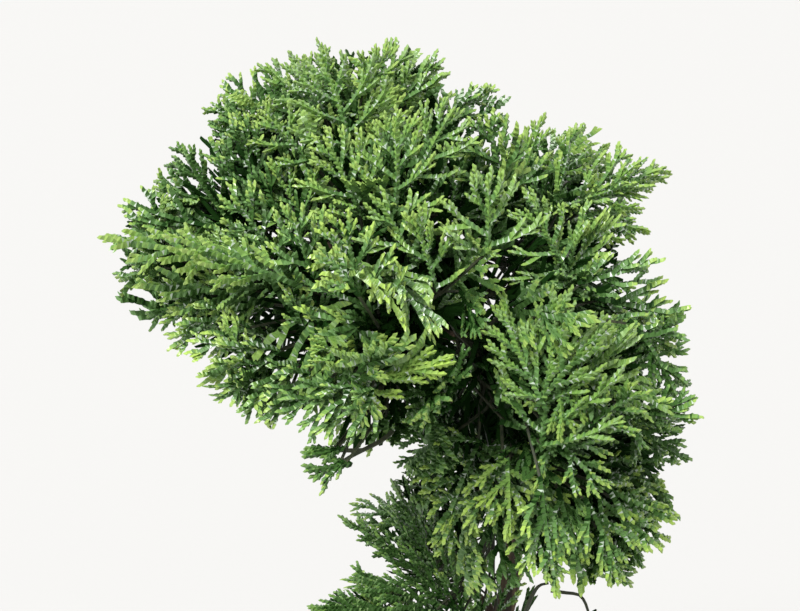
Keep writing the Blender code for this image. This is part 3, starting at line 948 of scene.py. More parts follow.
# Share of rows with a pale fleck: partly wax bloom, partly a painted glint.
WAX_GLINT_SHARE = 0.10
MOTTLED_SHARE = 0.18

# %% Lines in the plane of a spray


def new_spray_shape():
    """An empty spray: its corners, its faces, and the zone of every face."""
    return {"corners": [], "faces": [], "zones": []}


def curved_line(start, heading, length, step, bend):
    """Points along a line that bends evenly by an angle."""
    count = max(2, round(length / step))
    x, y = start
    line = [(x, y)]
    for _ in range(count):
        heading += bend / count
        x += math.cos(heading) * length / count
        y += math.sin(heading) * length / count
        line.append((x, y))
    return line


def age_at(share, fresh):
    """The zone near a shoot's end: its newest scales from the share given as fresh."""
    if share < fresh - LATE_SHARE * (1 - fresh):
        return BODY
    return LATE if share < fresh else TIP


def place_on(line, share):
    """The point at a share of a line, and the line's heading there."""
    place = share * (len(line) - 1)
    index = min(int(place), len(line) - 2)
    (x, y), (x2, y2) = line[index], line[index + 1]
    part = place - index
    return (x + (x2 - x) * part, y + (y2 - y) * part), math.atan2(y2 - y, x2 - x)


# %% One finger


def add_finger(shape, line, size, lift, slope, zone_at, draw):
    """A toothed, ridged finger along a line: a left edge, a ridge and a right edge at each ring."""
    half_width, ridge = size
    corners, faces, zones = shape["corners"], shape["faces"], shape["zones"]
    first, last = len(corners), len(line) - 1
    step = math.dist(line[0], line[1])
    for k, (x, y) in enumerate(line):
        (ax, ay), (bx, by) = line[max(k - 1, 0)], line[min(k + 1, last)]
        length = math.dist((ax, ay), (bx, by))
        dx, dy = (bx - ax) / length, (by - ay) / length
        taper = min(1.0, TAPER_END + (1 - TAPER_END) * (last - k) / TAPER_RINGS)
        top = ridge * taper * draw.uniform(*RIDGE_RISE)
        rise = lift + slope * k * step
        for across in (1, -1):
            hollow = (k + (across > 0)) % 2 or k == last
            half = half_width * taper * (NARROW if hollow else 1.0) * draw.uniform(*UNEVEN)
            edge = ridge * EDGE_LIFT[hollow]
            ahead = step * EDGE_AHEAD[hollow]
            edge_x = x + dx * ahead - dy * half * across
            edge_y = y + dy * ahead + dx * half * across
            corners.append((edge_x, edge_y, rise + edge))
            if across == 1:
                corners.append((x, y, rise + top))
    for k in range(last):
        a, b = first + 3 * k, first + 3 * k + 3
        zone = zone_at(k / last + draw.uniform(-ZONE_JITTER, ZONE_JITTER))
        for p, q, r, s in ((a, a + 1, b + 1, b), (b + 1, a + 1, a + 2, b + 2)):
            shade = zone
            if draw.random() < MOTTLED_SHARE:
                shade = min(TIP, max(FOOT, zone + draw.choice((-1, 1))))
            # A few pale flecks: partly wax bloom, partly a painted glint.
            if zone in (STEM, BODY, LATE) and draw.random() < WAX_GLINT_SHARE:
                faces += [(p, q, r), (p, r, s)]
                zones += [WAX_GLINT, shade]
            else:
                faces.append((p, q, r, s))
                zones.append(shade)
        # The underside takes a darker zone, as painted shade.
        faces.append((a + 2, a, b, b + 2))
        zones.append(UNDERSIDE_SHADE[zone])
    faces.append((first, first + 2, first + 1))
    zones.append(FOOT)
    end = first + 3 * last
    tip = len(corners)
    x, y = line[-1]
    _, heading = place_on(line, 1.0)
    reach = POINT_REACH * half_width
    corners.append((x + reach * math.cos(heading), y + reach * math.sin(heading), corners[end][2]))
    for p, q in ((0, 1), (1, 2), (2, 0)):
        faces.append((end + p, end + q, tip))
        zones.append(zone_at(1.0))


print("zones of a spray:", ", ".join(ZONES))

# %% [markdown]
# ## Kinds of spray
#
# Two kinds of spray make up most of this plant. A feather has a long middle shoot with
# branchlets down both sides. A fan has a short one, and its branchlets leave close to its foot,
# over almost half a circle. Each could be drawn by hand, but one rule with different sizes grows
# both. Lower turns are seen from further off, so their sprays have longer scales and fewer
# fingers, and the old growth inside a mass has only rough strips.

# %% Kinds and details of spray
SPRAY_REACH = 0.034
FEATHER = {
    "length": 1.0, "start": 0.12, "every": 0.0040, "foot_angle": 48, "tip_angle": 28,
    "side": 0.60, "lobe_every": 0.0042,
}
FAN = {
    "length": 0.90, "start": 0.04, "every": 0.0032, "foot_angle": 80, "tip_angle": 28,
    "side": 0.74, "lobe_every": 0.0045,
}
FINE = {"step": 0.00084, "half_width": 0.00109, "ridge": 0.00126, "sparser": 1.0, "lobes": True}
PLAIN = {"step": 0.00130, "half_width": 0.00155, "ridge": 0.00095, "sparser": 1.35, "lobes": True}
ROUGH = {"step": 0.00600, "half_width": 0.00185, "ridge": 0.00090, "sparser": 1.6, "lobes": False}
FRESH_TIP = 0.0020

# %% Measures of the middle shoot, the branchlets and their lobes
# Sways, curls and turns are in degrees, the middle shoot's bend is in radians, lengths are in
# metres, and slopes and tilts are rises per length. A pair is the range of a draw.
MIDDLE_LENGTHS = (0.95, 1.05)
MIDDLE_BEND = 0.3
MIDDLE_END = 0.91
MIDDLE_ZONES = ((FOOT, 0.1), (STEM, 0.4), (BODY, 0.7))
MIDDLE_FRESH = 0.9
SPACING = (0.8, 1.2)
BRANCHLET_LENGTHS = (0.82, 1.12)
BRANCHLET_STUB = 0.003
LOWEST_SHARE = 0.15
LOWEST_SCALE = 0.82
BRANCHLET_SWAY = 7
BRANCHLET_CURL = (12, 36)
BRANCHLET_SLOPE = (-0.34, 0.32)
BRANCHLET_DROP = -0.0002
OLD_SHARE = 0.36
OLD_FROM = 0.007
LOBES_FROM = 0.34
LOBES_CLEAR = 0.003
OUTER_LOBE_FIRST = 0.6
LOBE_TURN = (26, 38)
LOBE_CURL = (6, 22)
LOBE_LEAST = 0.0024
LOBE_MOST = 0.0068
LOBE_SHARE = 0.36
LOBE_LENGTHS = (0.75, 1.2)
LOBE_SPACING = (0.8, 1.15)
LOBE_TILT = 0.50
LOBE_WIDTH = 0.94
LOBE_FRESHNESS = 0.8

# %% The middle shoot


def middle_age(share):
    """The zone along a middle shoot, which is the oldest of a spray's shoots."""
    for zone, end in MIDDLE_ZONES:
        if share < end:
            return zone
    return age_at(share, MIDDLE_FRESH)


def grow_spray(kind, detail, seed):
    """One flat spray along +X, facing +Z: a middle shoot, its branchlets and their lobes."""
    draw = random.Random(seed)
    shape = new_spray_shape()
    size = (detail["half_width"], detail["ridge"])
    step = detail["step"]
    length = SPRAY_REACH * kind["length"] * draw.uniform(*MIDDLE_LENGTHS)
    bend = draw.uniform(-MIDDLE_BEND, MIDDLE_BEND)
    middle = curved_line((0.0, 0.0), 0.0, length, step, bend)
    add_finger(shape, middle, size, 0.0, 0.0, middle_age, draw)
    along, side = kind["start"] * length, draw.choice((-1, 1))
    while along < MIDDLE_END * length:
        grow_branchlet(shape, middle, along / length, length, side, kind, detail, draw)
        along += kind["every"] * detail["sparser"] * draw.uniform(*SPACING)
        side = -side
    return shape


# %% A branchlet and its lobes


def branchlet_age(share, older, fresh):
    """The zone along a branchlet: a stem up to the share given as older, and then by age."""
    return STEM if share < older else age_at(share, fresh)


def grow_branchlet(shape, middle, share, length, side, kind, detail, draw):
    """One branchlet off the middle shoot, with lobes that fork off it by turns."""
    size = (detail["half_width"], detail["ridge"])
    step = detail["step"]
    left = 1 - share
    reach = kind["side"] * left**0.8 * length + BRANCHLET_STUB
    reach *= draw.uniform(*BRANCHLET_LENGTHS)
    if share < LOWEST_SHARE:
        reach *= LOWEST_SCALE
    angle = kind["tip_angle"] + (kind["foot_angle"] - kind["tip_angle"]) * left**1.5
    start, heading = place_on(middle, share)
    heading += side * math.radians(angle + draw.uniform(-BRANCHLET_SWAY, BRANCHLET_SWAY))
    bend = -side * math.radians(draw.uniform(*BRANCHLET_CURL))
    line = curved_line(start, heading, reach, step, bend)
    slope = draw.uniform(*BRANCHLET_SLOPE)
    older = OLD_SHARE if reach > OLD_FROM else 0.0
    fresh = 1 - FRESH_TIP / reach
    ages = partial(branchlet_age, older=older, fresh=fresh)
    add_finger(shape, line, size, BRANCHLET_DROP, slope, ages, draw)
    if not detail["lobes"]:
        return
    along = max(LOBES_FROM * reach, LOBES_CLEAR)
    turn = side if draw.random() < OUTER_LOBE_FIRST else -side
    while along < reach - LOBE_LEAST:
        start, heading = place_on(line, along / reach)
        lobe = min(LOBE_LEAST + LOBE_SHARE * (reach - along), LOBE_MOST)
        lobe *= draw.uniform(*LOBE_LENGTHS)
        heading += turn * math.radians(draw.uniform(*LOBE_TURN))
        bend = -turn * math.radians(draw.uniform(*LOBE_CURL))
        lobe_fresh = 1 - LOBE_FRESHNESS * FRESH_TIP / lobe
        ages = partial(age_at, fresh=lobe_fresh)
        tilt = slope + draw.uniform(-LOBE_TILT, LOBE_TILT)
        lobe_line = curved_line(start, heading, lobe, step, bend)
        lobe_size = (LOBE_WIDTH * size[0], size[1])
        add_finger(shape, lobe_line, lobe_size, slope * along, tilt, ages, draw)
        along += kind["lobe_every"] * detail["sparser"] * draw.uniform(*LOBE_SPACING)
        turn = -turn


# %% The sprays that are copied


def as_arrays(shape):
    """A spray's corners, the corner numbers of its faces, their sizes, and their zones."""
    sizes = np.array([len(face) for face in shape["faces"]], np.int32)
    return {
        "corners": np.array(shape["corners"]),
        "loops": np.array([k for face in shape["faces"] for k in face], np.int32),
        "sizes": sizes,
        "zones": np.array(shape["zones"]),
        "triangles": int((sizes - 2).sum()),
    }


VARIANTS = 7


def spray_set(detail, seed):
    """Feathers and fans of one detail, by turns."""
    kinds = (FEATHER, FAN)
    return [as_arrays(grow_spray(kinds[k % 2], detail, seed + k)) for k in range(2 * VARIANTS)]


FINE_SPRAYS = spray_set(FINE, 100)
PLAIN_SPRAYS = spray_set(PLAIN, 200)
ROUGH_SPRAYS = spray_set(ROUGH, 300)
for title, sprays in (("fine", FINE_SPRAYS), ("plain", PLAIN_SPRAYS), ("rough", ROUGH_SPRAYS)):
    print(title, "sprays, mean triangles:", sum(s["triangles"] for s in sprays) // len(sprays))

# %% [markdown]
# ## Where the sprays grow
#
# A twig grows away from the wood that feeds it, so sprays lie over a mass like feathers on a
# bird: they all lean away from one heart. Each mass keeps to its own space, which planes halfway
# to its neighbours bound. Sprouts leave its core in directions spread evenly by the golden
# angle, lean away from the heart, and are tried again, turned and a little shorter, until they
# fit. Scattering them with particles would ignore the neighbours and the limbs.
#
# The first growth repeats the solid model's own fans. The second fills in between them, at
# several depths, and the deepest of them are painted dark as shade. The third is old growth inside
# and along the boughs, painted almost black as shade, which keeps light from shining through the
# crown.

# %% Space of a mass
CELL_GAP = 0.0020
LIMB_CLEARANCE = 0.0012
SPRAY_APART = 0.003
GOLDEN_ANGLE = math.radians(137.508)
SEED = 7
SEEDS_PER_STAGE = 1000
FIRST, FILL, INNER, LAYING, TWIGS = range(1, 6)


def growth_draw(mass, stage):
    """The seeded draws of one stage of a mass's growth."""
    return random.Random(SEEDS_PER_STAGE * SEED * stage + mass["growth"])


def as_row(vector):
    """A Blender vector as a row of numbers."""
    return np.array(vector[:], float)


def cell_walls(mass):
    """The planes that bound a mass's space: their directions, and distances from its centre."""
    ways, limits = [], []
    for other in MASSES:
        across = other["centre"] - mass["centre"]
        distance = across.length
        if 0 < distance < 4 * REACH:
            bias = REACH**2 * (mass["size"] ** 2 - other["size"] ** 2)
            ways.append(as_row(across / distance))
            limits.append(0.5 * (distance + bias / distance - CELL_GAP))
    return np.array(ways), np.array(limits)


RUNS = limb_runs()
RUN_STARTS = np.array([as_row(start) for start, _, _ in RUNS])
RUN_WAYS = np.array([as_row(end - start) for start, end, _ in RUNS])
RUN_RADII = np.array([radius for _, _, radius in RUNS])
RUN_SQUARES = (RUN_WAYS**2).sum(1)
for mass in MASSES:
    mass["walls"], mass["limits"] = cell_walls(mass)


# %% Does it fit?


def inside_cell(points, mass, slack=0.0):
    """True if every point is in the mass's space, give or take the slack."""
    return bool(((points - as_row(mass["centre"])) @ mass["walls"].T <= mass["limits"] + slack).all())


def clear_of_limbs(points):
    """True if every point is outside every limb by the clearance."""
    offsets = points[:, None, :] - RUN_STARTS[None]
    shares = np.clip((offsets * RUN_WAYS).sum(2) / RUN_SQUARES, 0, 1)
    gaps = np.linalg.norm(offsets - shares[..., None] * RUN_WAYS, axis=2)
    return bool((gaps >= RUN_RADII + LIMB_CLEARANCE).all())


print("straight runs of limbs that sprays keep clear of:", len(RUNS))

# %% Measures of a sprout
# Spreads, swings, leans and turns are in degrees. A pair is the range of a draw.
SPRAY_LENGTH = 0.029
SPRAY_FINGERS = 5
SPRAY_SPREAD = 130
SPRAY_DROOP = 0.16
FINGER_NOTCH = 0.56
SIDE_FINGER_CUT = 0.38
PALM_OUT = 0.004
TWIG_OUT = 0.011
TWIG_EVERY = 3
TRIES = 14
TRIES_APART = 9
SWING = 45
SWING_PER_TRY = 0.15
LEAN = (48, 66)
LEAN_ON_TOP = 12
LEAN_ON_TWIG = 14
SPRAY_LENGTHS = (0.9, 1.12)
SHORTER_PER_TRY = 0.04
ON_TWIG_SCALE = 0.85
FINGER_LENGTHS = (0.88, 1.06)
SIDE_SPRAY_TURN = 62
SIDE_SPRAY_SCALE = 0.72
SIDE_SPRAY_TILT = 0.35
SIDE_SPRAY_BACK = 0.55
SIDE_SPRAY_OUT = 1.6
LEAST_WAY = 0.05
WAY_UP = 0.2
CROWN_HEART = Vector((-0.034, 0, 0.585))
FAN_ACROSS = np.linspace(-1, 1, 2 * SPRAY_FINGERS - 1)
FAN_TURNS = 0.5 * FAN_ACROSS * math.radians(SPRAY_SPREAD)
FAN_REACH = (1 - SIDE_FINGER_CUT * np.abs(FAN_ACROSS) ** 1.6) * np.where(
    np.arange(len(FAN_ACROSS)) % 2, FINGER_NOTCH, 1.0
)

# %% Places on a core


def sprouts(mass, count, start):
    """Places spread evenly over a mass's core: number, point and outward normal."""
    for k in range(count):
        yield k, *core_surface(mass, even_direction(k, count, start))


def leaning(normal, way, lean):
    """The axis and the face of a spray that leans from the normal towards a way."""
    axis = normal * math.cos(lean) + way * math.sin(lean)
    return axis, normal * math.sin(lean) - way * math.cos(lean)


def core_surface(mass, direction):
    """The point and outward normal on the core in a direction given in the mass's own axes."""
    point, normal = mass["centre"].copy(), Vector()
    for axis, part, half in zip((mass["out"], mass["along"], UP), direction, mass["core"]):
        point += axis * part * half
        normal += axis * part / half
    return point, normal.normalized()


def even_direction(index, count, start):
    """The index-th of count directions spread evenly over a ball by the golden angle."""
    rise = 1 - 2 * (index + 0.5) / count
    turn = index * GOLDEN_ANGLE + start
    ring = math.sqrt(1 - rise * rise)
    return ring * math.cos(turn), ring * math.sin(turn), rise


# %% A fan that is tried, and its way out


def fan_probes(palm, axis, face, length, draw):
    """Points over a fan that are tested against the mass's space, the limbs and other fans."""
    fingers = np.array([draw.uniform(*FINGER_LENGTHS) for _ in FAN_ACROSS])
    reach = length * fingers * FAN_REACH
    side = face.cross(axis)
    sag = SPRAY_DROOP * reach**2 / length
    edge = (
        as_row(palm)
        + np.outer(np.cos(FAN_TURNS) * reach, as_row(axis))
        + np.outer(np.sin(FAN_TURNS) * reach, as_row(side))
        - np.outer(sag, as_row(face))
    )
    middle = 0.5 * (edge + as_row(palm))
    return np.vstack([edge, middle, as_row(palm)])


def outward_way(mass, surface, normal):
    """The way that growth leans on the core's surface: away from the heart that feeds the mass."""
    heart = CROWN_HEART if mass["in_crown"] else trunk_at(mass["fork_z"])[0]
    away = (surface - heart).normalized()
    way = away - normal * away.dot(normal)
    if way.length < LEAST_WAY:
        way += WAY_UP * (UP - normal * normal.z)
    return way.normalized()


# %% A spray that fits


def fitted_spray(mass, taken, surface, normal, on_twig, draw, scale=1.0, slack=0.0):
    """One spray at a place on the core, turned and shortened until it fits, or None."""
    onward = outward_way(mass, surface, normal)
    for attempt in range(TRIES):
        swing = math.radians(draw.uniform(-SWING, SWING) * (1 + SWING_PER_TRY * attempt))
        lean = draw.uniform(*LEAN) + LEAN_ON_TOP * abs(normal.z) - (LEAN_ON_TWIG if on_twig else 0)
        length = scale * SPRAY_LENGTH * mass["size"] * draw.uniform(*SPRAY_LENGTHS)
        length *= 1 - SHORTER_PER_TRY * attempt
        way = onward * math.cos(swing) + normal.cross(onward) * math.sin(swing)
        axis, face = leaning(normal, way, math.radians(lean))
        palm = surface + axis * (TWIG_OUT if on_twig else PALM_OUT)
        if on_twig:
            length *= ON_TWIG_SCALE
        probes = fan_probes(palm, axis, face, length, draw)
        if not inside_cell(probes, mass, slack) or not clear_of_limbs(probes):
            continue
        if attempt < TRIES_APART and len(taken):
            apart = np.linalg.norm(probes[:, None, :] - np.array(taken)[None], axis=2).min()
            if apart < SPRAY_APART:
                continue
        return {"palm": palm, "axis": axis, "face": face, "length": length, "probes": probes}
    return None


def side_spray(spray, draw):
    """A smaller spray that branches off a twig, to one side of the spray at its tip."""
    side = spray["face"].cross(spray["axis"]) * draw.choice((-1, 1))
    turn = math.radians(SIDE_SPRAY_TURN)
    axis = spray["axis"] * math.cos(turn) + side * math.sin(turn)
    palm = spray["palm"] - spray["axis"] * SIDE_SPRAY_BACK * TWIG_OUT
    palm += axis * SIDE_SPRAY_OUT * PALM_OUT
    face = spray["face"] + SIDE_SPRAY_TILT * side
    face = (face - axis * face.dot(axis)).normalized()
    length = SIDE_SPRAY_SCALE * spray["length"]
    probes = fan_probes(palm, axis, face, length, draw)
    return {"palm": palm, "axis": axis, "face": face, "length": length, "probes": probes}


# %% How many sprays, and how deep
# Depths are shares of the way from a mass's middle to its core's surface.
CROWN_SPROUTS = 12
LOWER_SPROUTS = 9
CROWN_FILL = 24
LOWER_FILL = 18
CROWN_INNER = 50
LOWER_INNER = 30
BOUGH_INNER = 30
THIN = {
    "cap": 0.8, "01": 0.6, "02": 0.6, "04": 0.65, "05": 0.8, "06": 0.7, "07": 0.7, "08": 0.85,
    "09": 0.75,
}
FILL_DEPTHS = (1.0, 0.78, 1.05, 0.88)
# Fill sprays set deeper than this share are painted dark, as shade.
DEEP = 0.9
FILL_SCALE = 0.94
FILL_SLACK = 0.004
REACH_MARGIN = 0.97
INNER_DEPTHS = (0.25, 0.75)
INNER_LEAN = (30, 80)
INNER_LENGTH = 0.024
BOUGH_SHARES = (0.25, 1.0)
BOUGH_SPRAY_LEAN = 0.7
BOUGH_SPRAY_LENGTH = 0.020

# %% First growth


def first_growth(mass):
    """The sprays that stand where the solid model has its fans."""
    draw = growth_draw(mass, FIRST)
    count = CROWN_SPROUTS if mass["in_crown"] else LOWER_SPROUTS
    sprays, taken = [], []
    for k, surface, normal in sprouts(mass, count, mass["growth"]):
        if not inside_cell(as_row(surface)[None], mass):
            continue
        on_twig = k % TWIG_EVERY == 0
        spray = fitted_spray(mass, taken, surface, normal, on_twig, draw)
        if spray is None:
            continue
        sprays.append(spray)
        taken += list(spray["probes"])
        if on_twig:
            branch = side_spray(spray, draw)
            if inside_cell(branch["probes"], mass) and clear_of_limbs(branch["probes"]):
                sprays.append(branch)
                taken += list(branch["probes"])
    return sprays


# %% Second growth


def fill_growth(mass, reach):
    """More sprays between the first ones, at several depths, no further out than the first."""
    draw = growth_draw(mass, FILL)
    count = CROWN_FILL if mass["in_crown"] else LOWER_FILL
    count = round(count * THIN.get(mass["name"], 1.0))
    sprays = []
    for k, surface, normal in sprouts(mass, count, mass["growth"] + 0.5):
        depth = FILL_DEPTHS[k % len(FILL_DEPTHS)]
        surface = mass["centre"] + (surface - mass["centre"]) * depth
        if not inside_cell(as_row(surface)[None], mass, FILL_SLACK):
            continue
        spray = fitted_spray(mass, [], surface, normal, False, draw, FILL_SCALE, FILL_SLACK)
        if spray is None:
            continue
        furthest = np.linalg.norm(spray["probes"] - as_row(mass["centre"]), axis=1).max()
        if furthest <= reach * REACH_MARGIN:
            spray["deep"] = depth < DEEP
            sprays.append(spray)
    return sprays


# %% Inner growth


def inner_growth(mass):
    """Short sprays inside the mass, later painted near black as shade."""
    draw = growth_draw(mass, INNER)
    count = CROWN_INNER if mass["in_crown"] else LOWER_INNER
    sprays = []
    for _, surface, normal in sprouts(mass, count, mass["growth"] + 1.5):
        palm = mass["centre"] + (surface - mass["centre"]) * draw.uniform(*INNER_DEPTHS)
        lean = math.radians(draw.uniform(*INNER_LEAN))
        axis, face = leaning(normal, outward_way(mass, surface, normal), lean)
        length = INNER_LENGTH * mass["size"]
        probes = fan_probes(palm, axis, face, length, draw)
        if inside_cell(probes, mass, FILL_SLACK):
            sprays.append({"palm": palm, "axis": axis, "face": face, "length": length})
    return sprays + bough_growth(mass, draw)


def bough_growth(mass, draw):
    """Short sprays along the bough, later painted near black as shade, which close the crown's
    middle.
    """
    if not mass["in_crown"] or mass["fork_z"] is None:
        return []
    fork, entry = trunk_at(mass["fork_z"])[0], mass["entry"]
    onward = (entry - fork).normalized()
    sprays = []
    for k in range(BOUGH_INNER):
        palm = fork.lerp(entry, draw.uniform(*BOUGH_SHARES))
        turn = k * GOLDEN_ANGLE
        side = onward.orthogonal().normalized()
        side = side * math.cos(turn) + onward.cross(side) * math.sin(turn)
        axis = (side + BOUGH_SPRAY_LEAN * onward).normalized()
        face = (onward - axis * axis.dot(onward)).normalized()
        sprays.append({"palm": palm, "axis": axis, "face": face, "length": BOUGH_SPRAY_LENGTH})
    return sprays


# %% [markdown]
# ## Sprays with a place of their own
#
# On a real plant some sprays catch the eye: a long shoot that the shears missed, a pale plume,
# lacy fans at the edge with sky between their fingers, tips that hang below the crown. Seeded
# growth alone cannot put one spray in one place, so these stand in a table. A row gives the
# mass, the foot and the tip in millimetres, how many degrees the spray is rolled about its stem
# from facing the front, then its kind, how wide it spreads and its tone. Its row number is its
# seed. They are grown by the same rule, each to its own length: long sprays, dense tufts with
# slender fingers, and airy fans are further sizes of it.

# %% Kinds of sprays that stand out
BASE_BACK = 0.004
LONG = {**FEATHER, "every": 0.0042, "foot_angle": 44}
TUFT = {**FAN, "every": 0.0027, "lobe_every": 0.0036, "foot_angle": 66}
AIRY = {**FAN, "every": 0.0050, "lobe_every": 0.0058, "foot_angle": 72}
KINDS = {"long": LONG, "feather": FEATHER, "fan": FAN, "tuft": TUFT, "airy": AIRY}
SLENDER = {**FINE, "step": 0.00076, "half_width": 0.00098, "ridge": 0.00108}
FIRST_NAMED_SEED = 400
MM = 0.001
FRONT_VIEWER = bpy.context.scene.camera.location.copy()

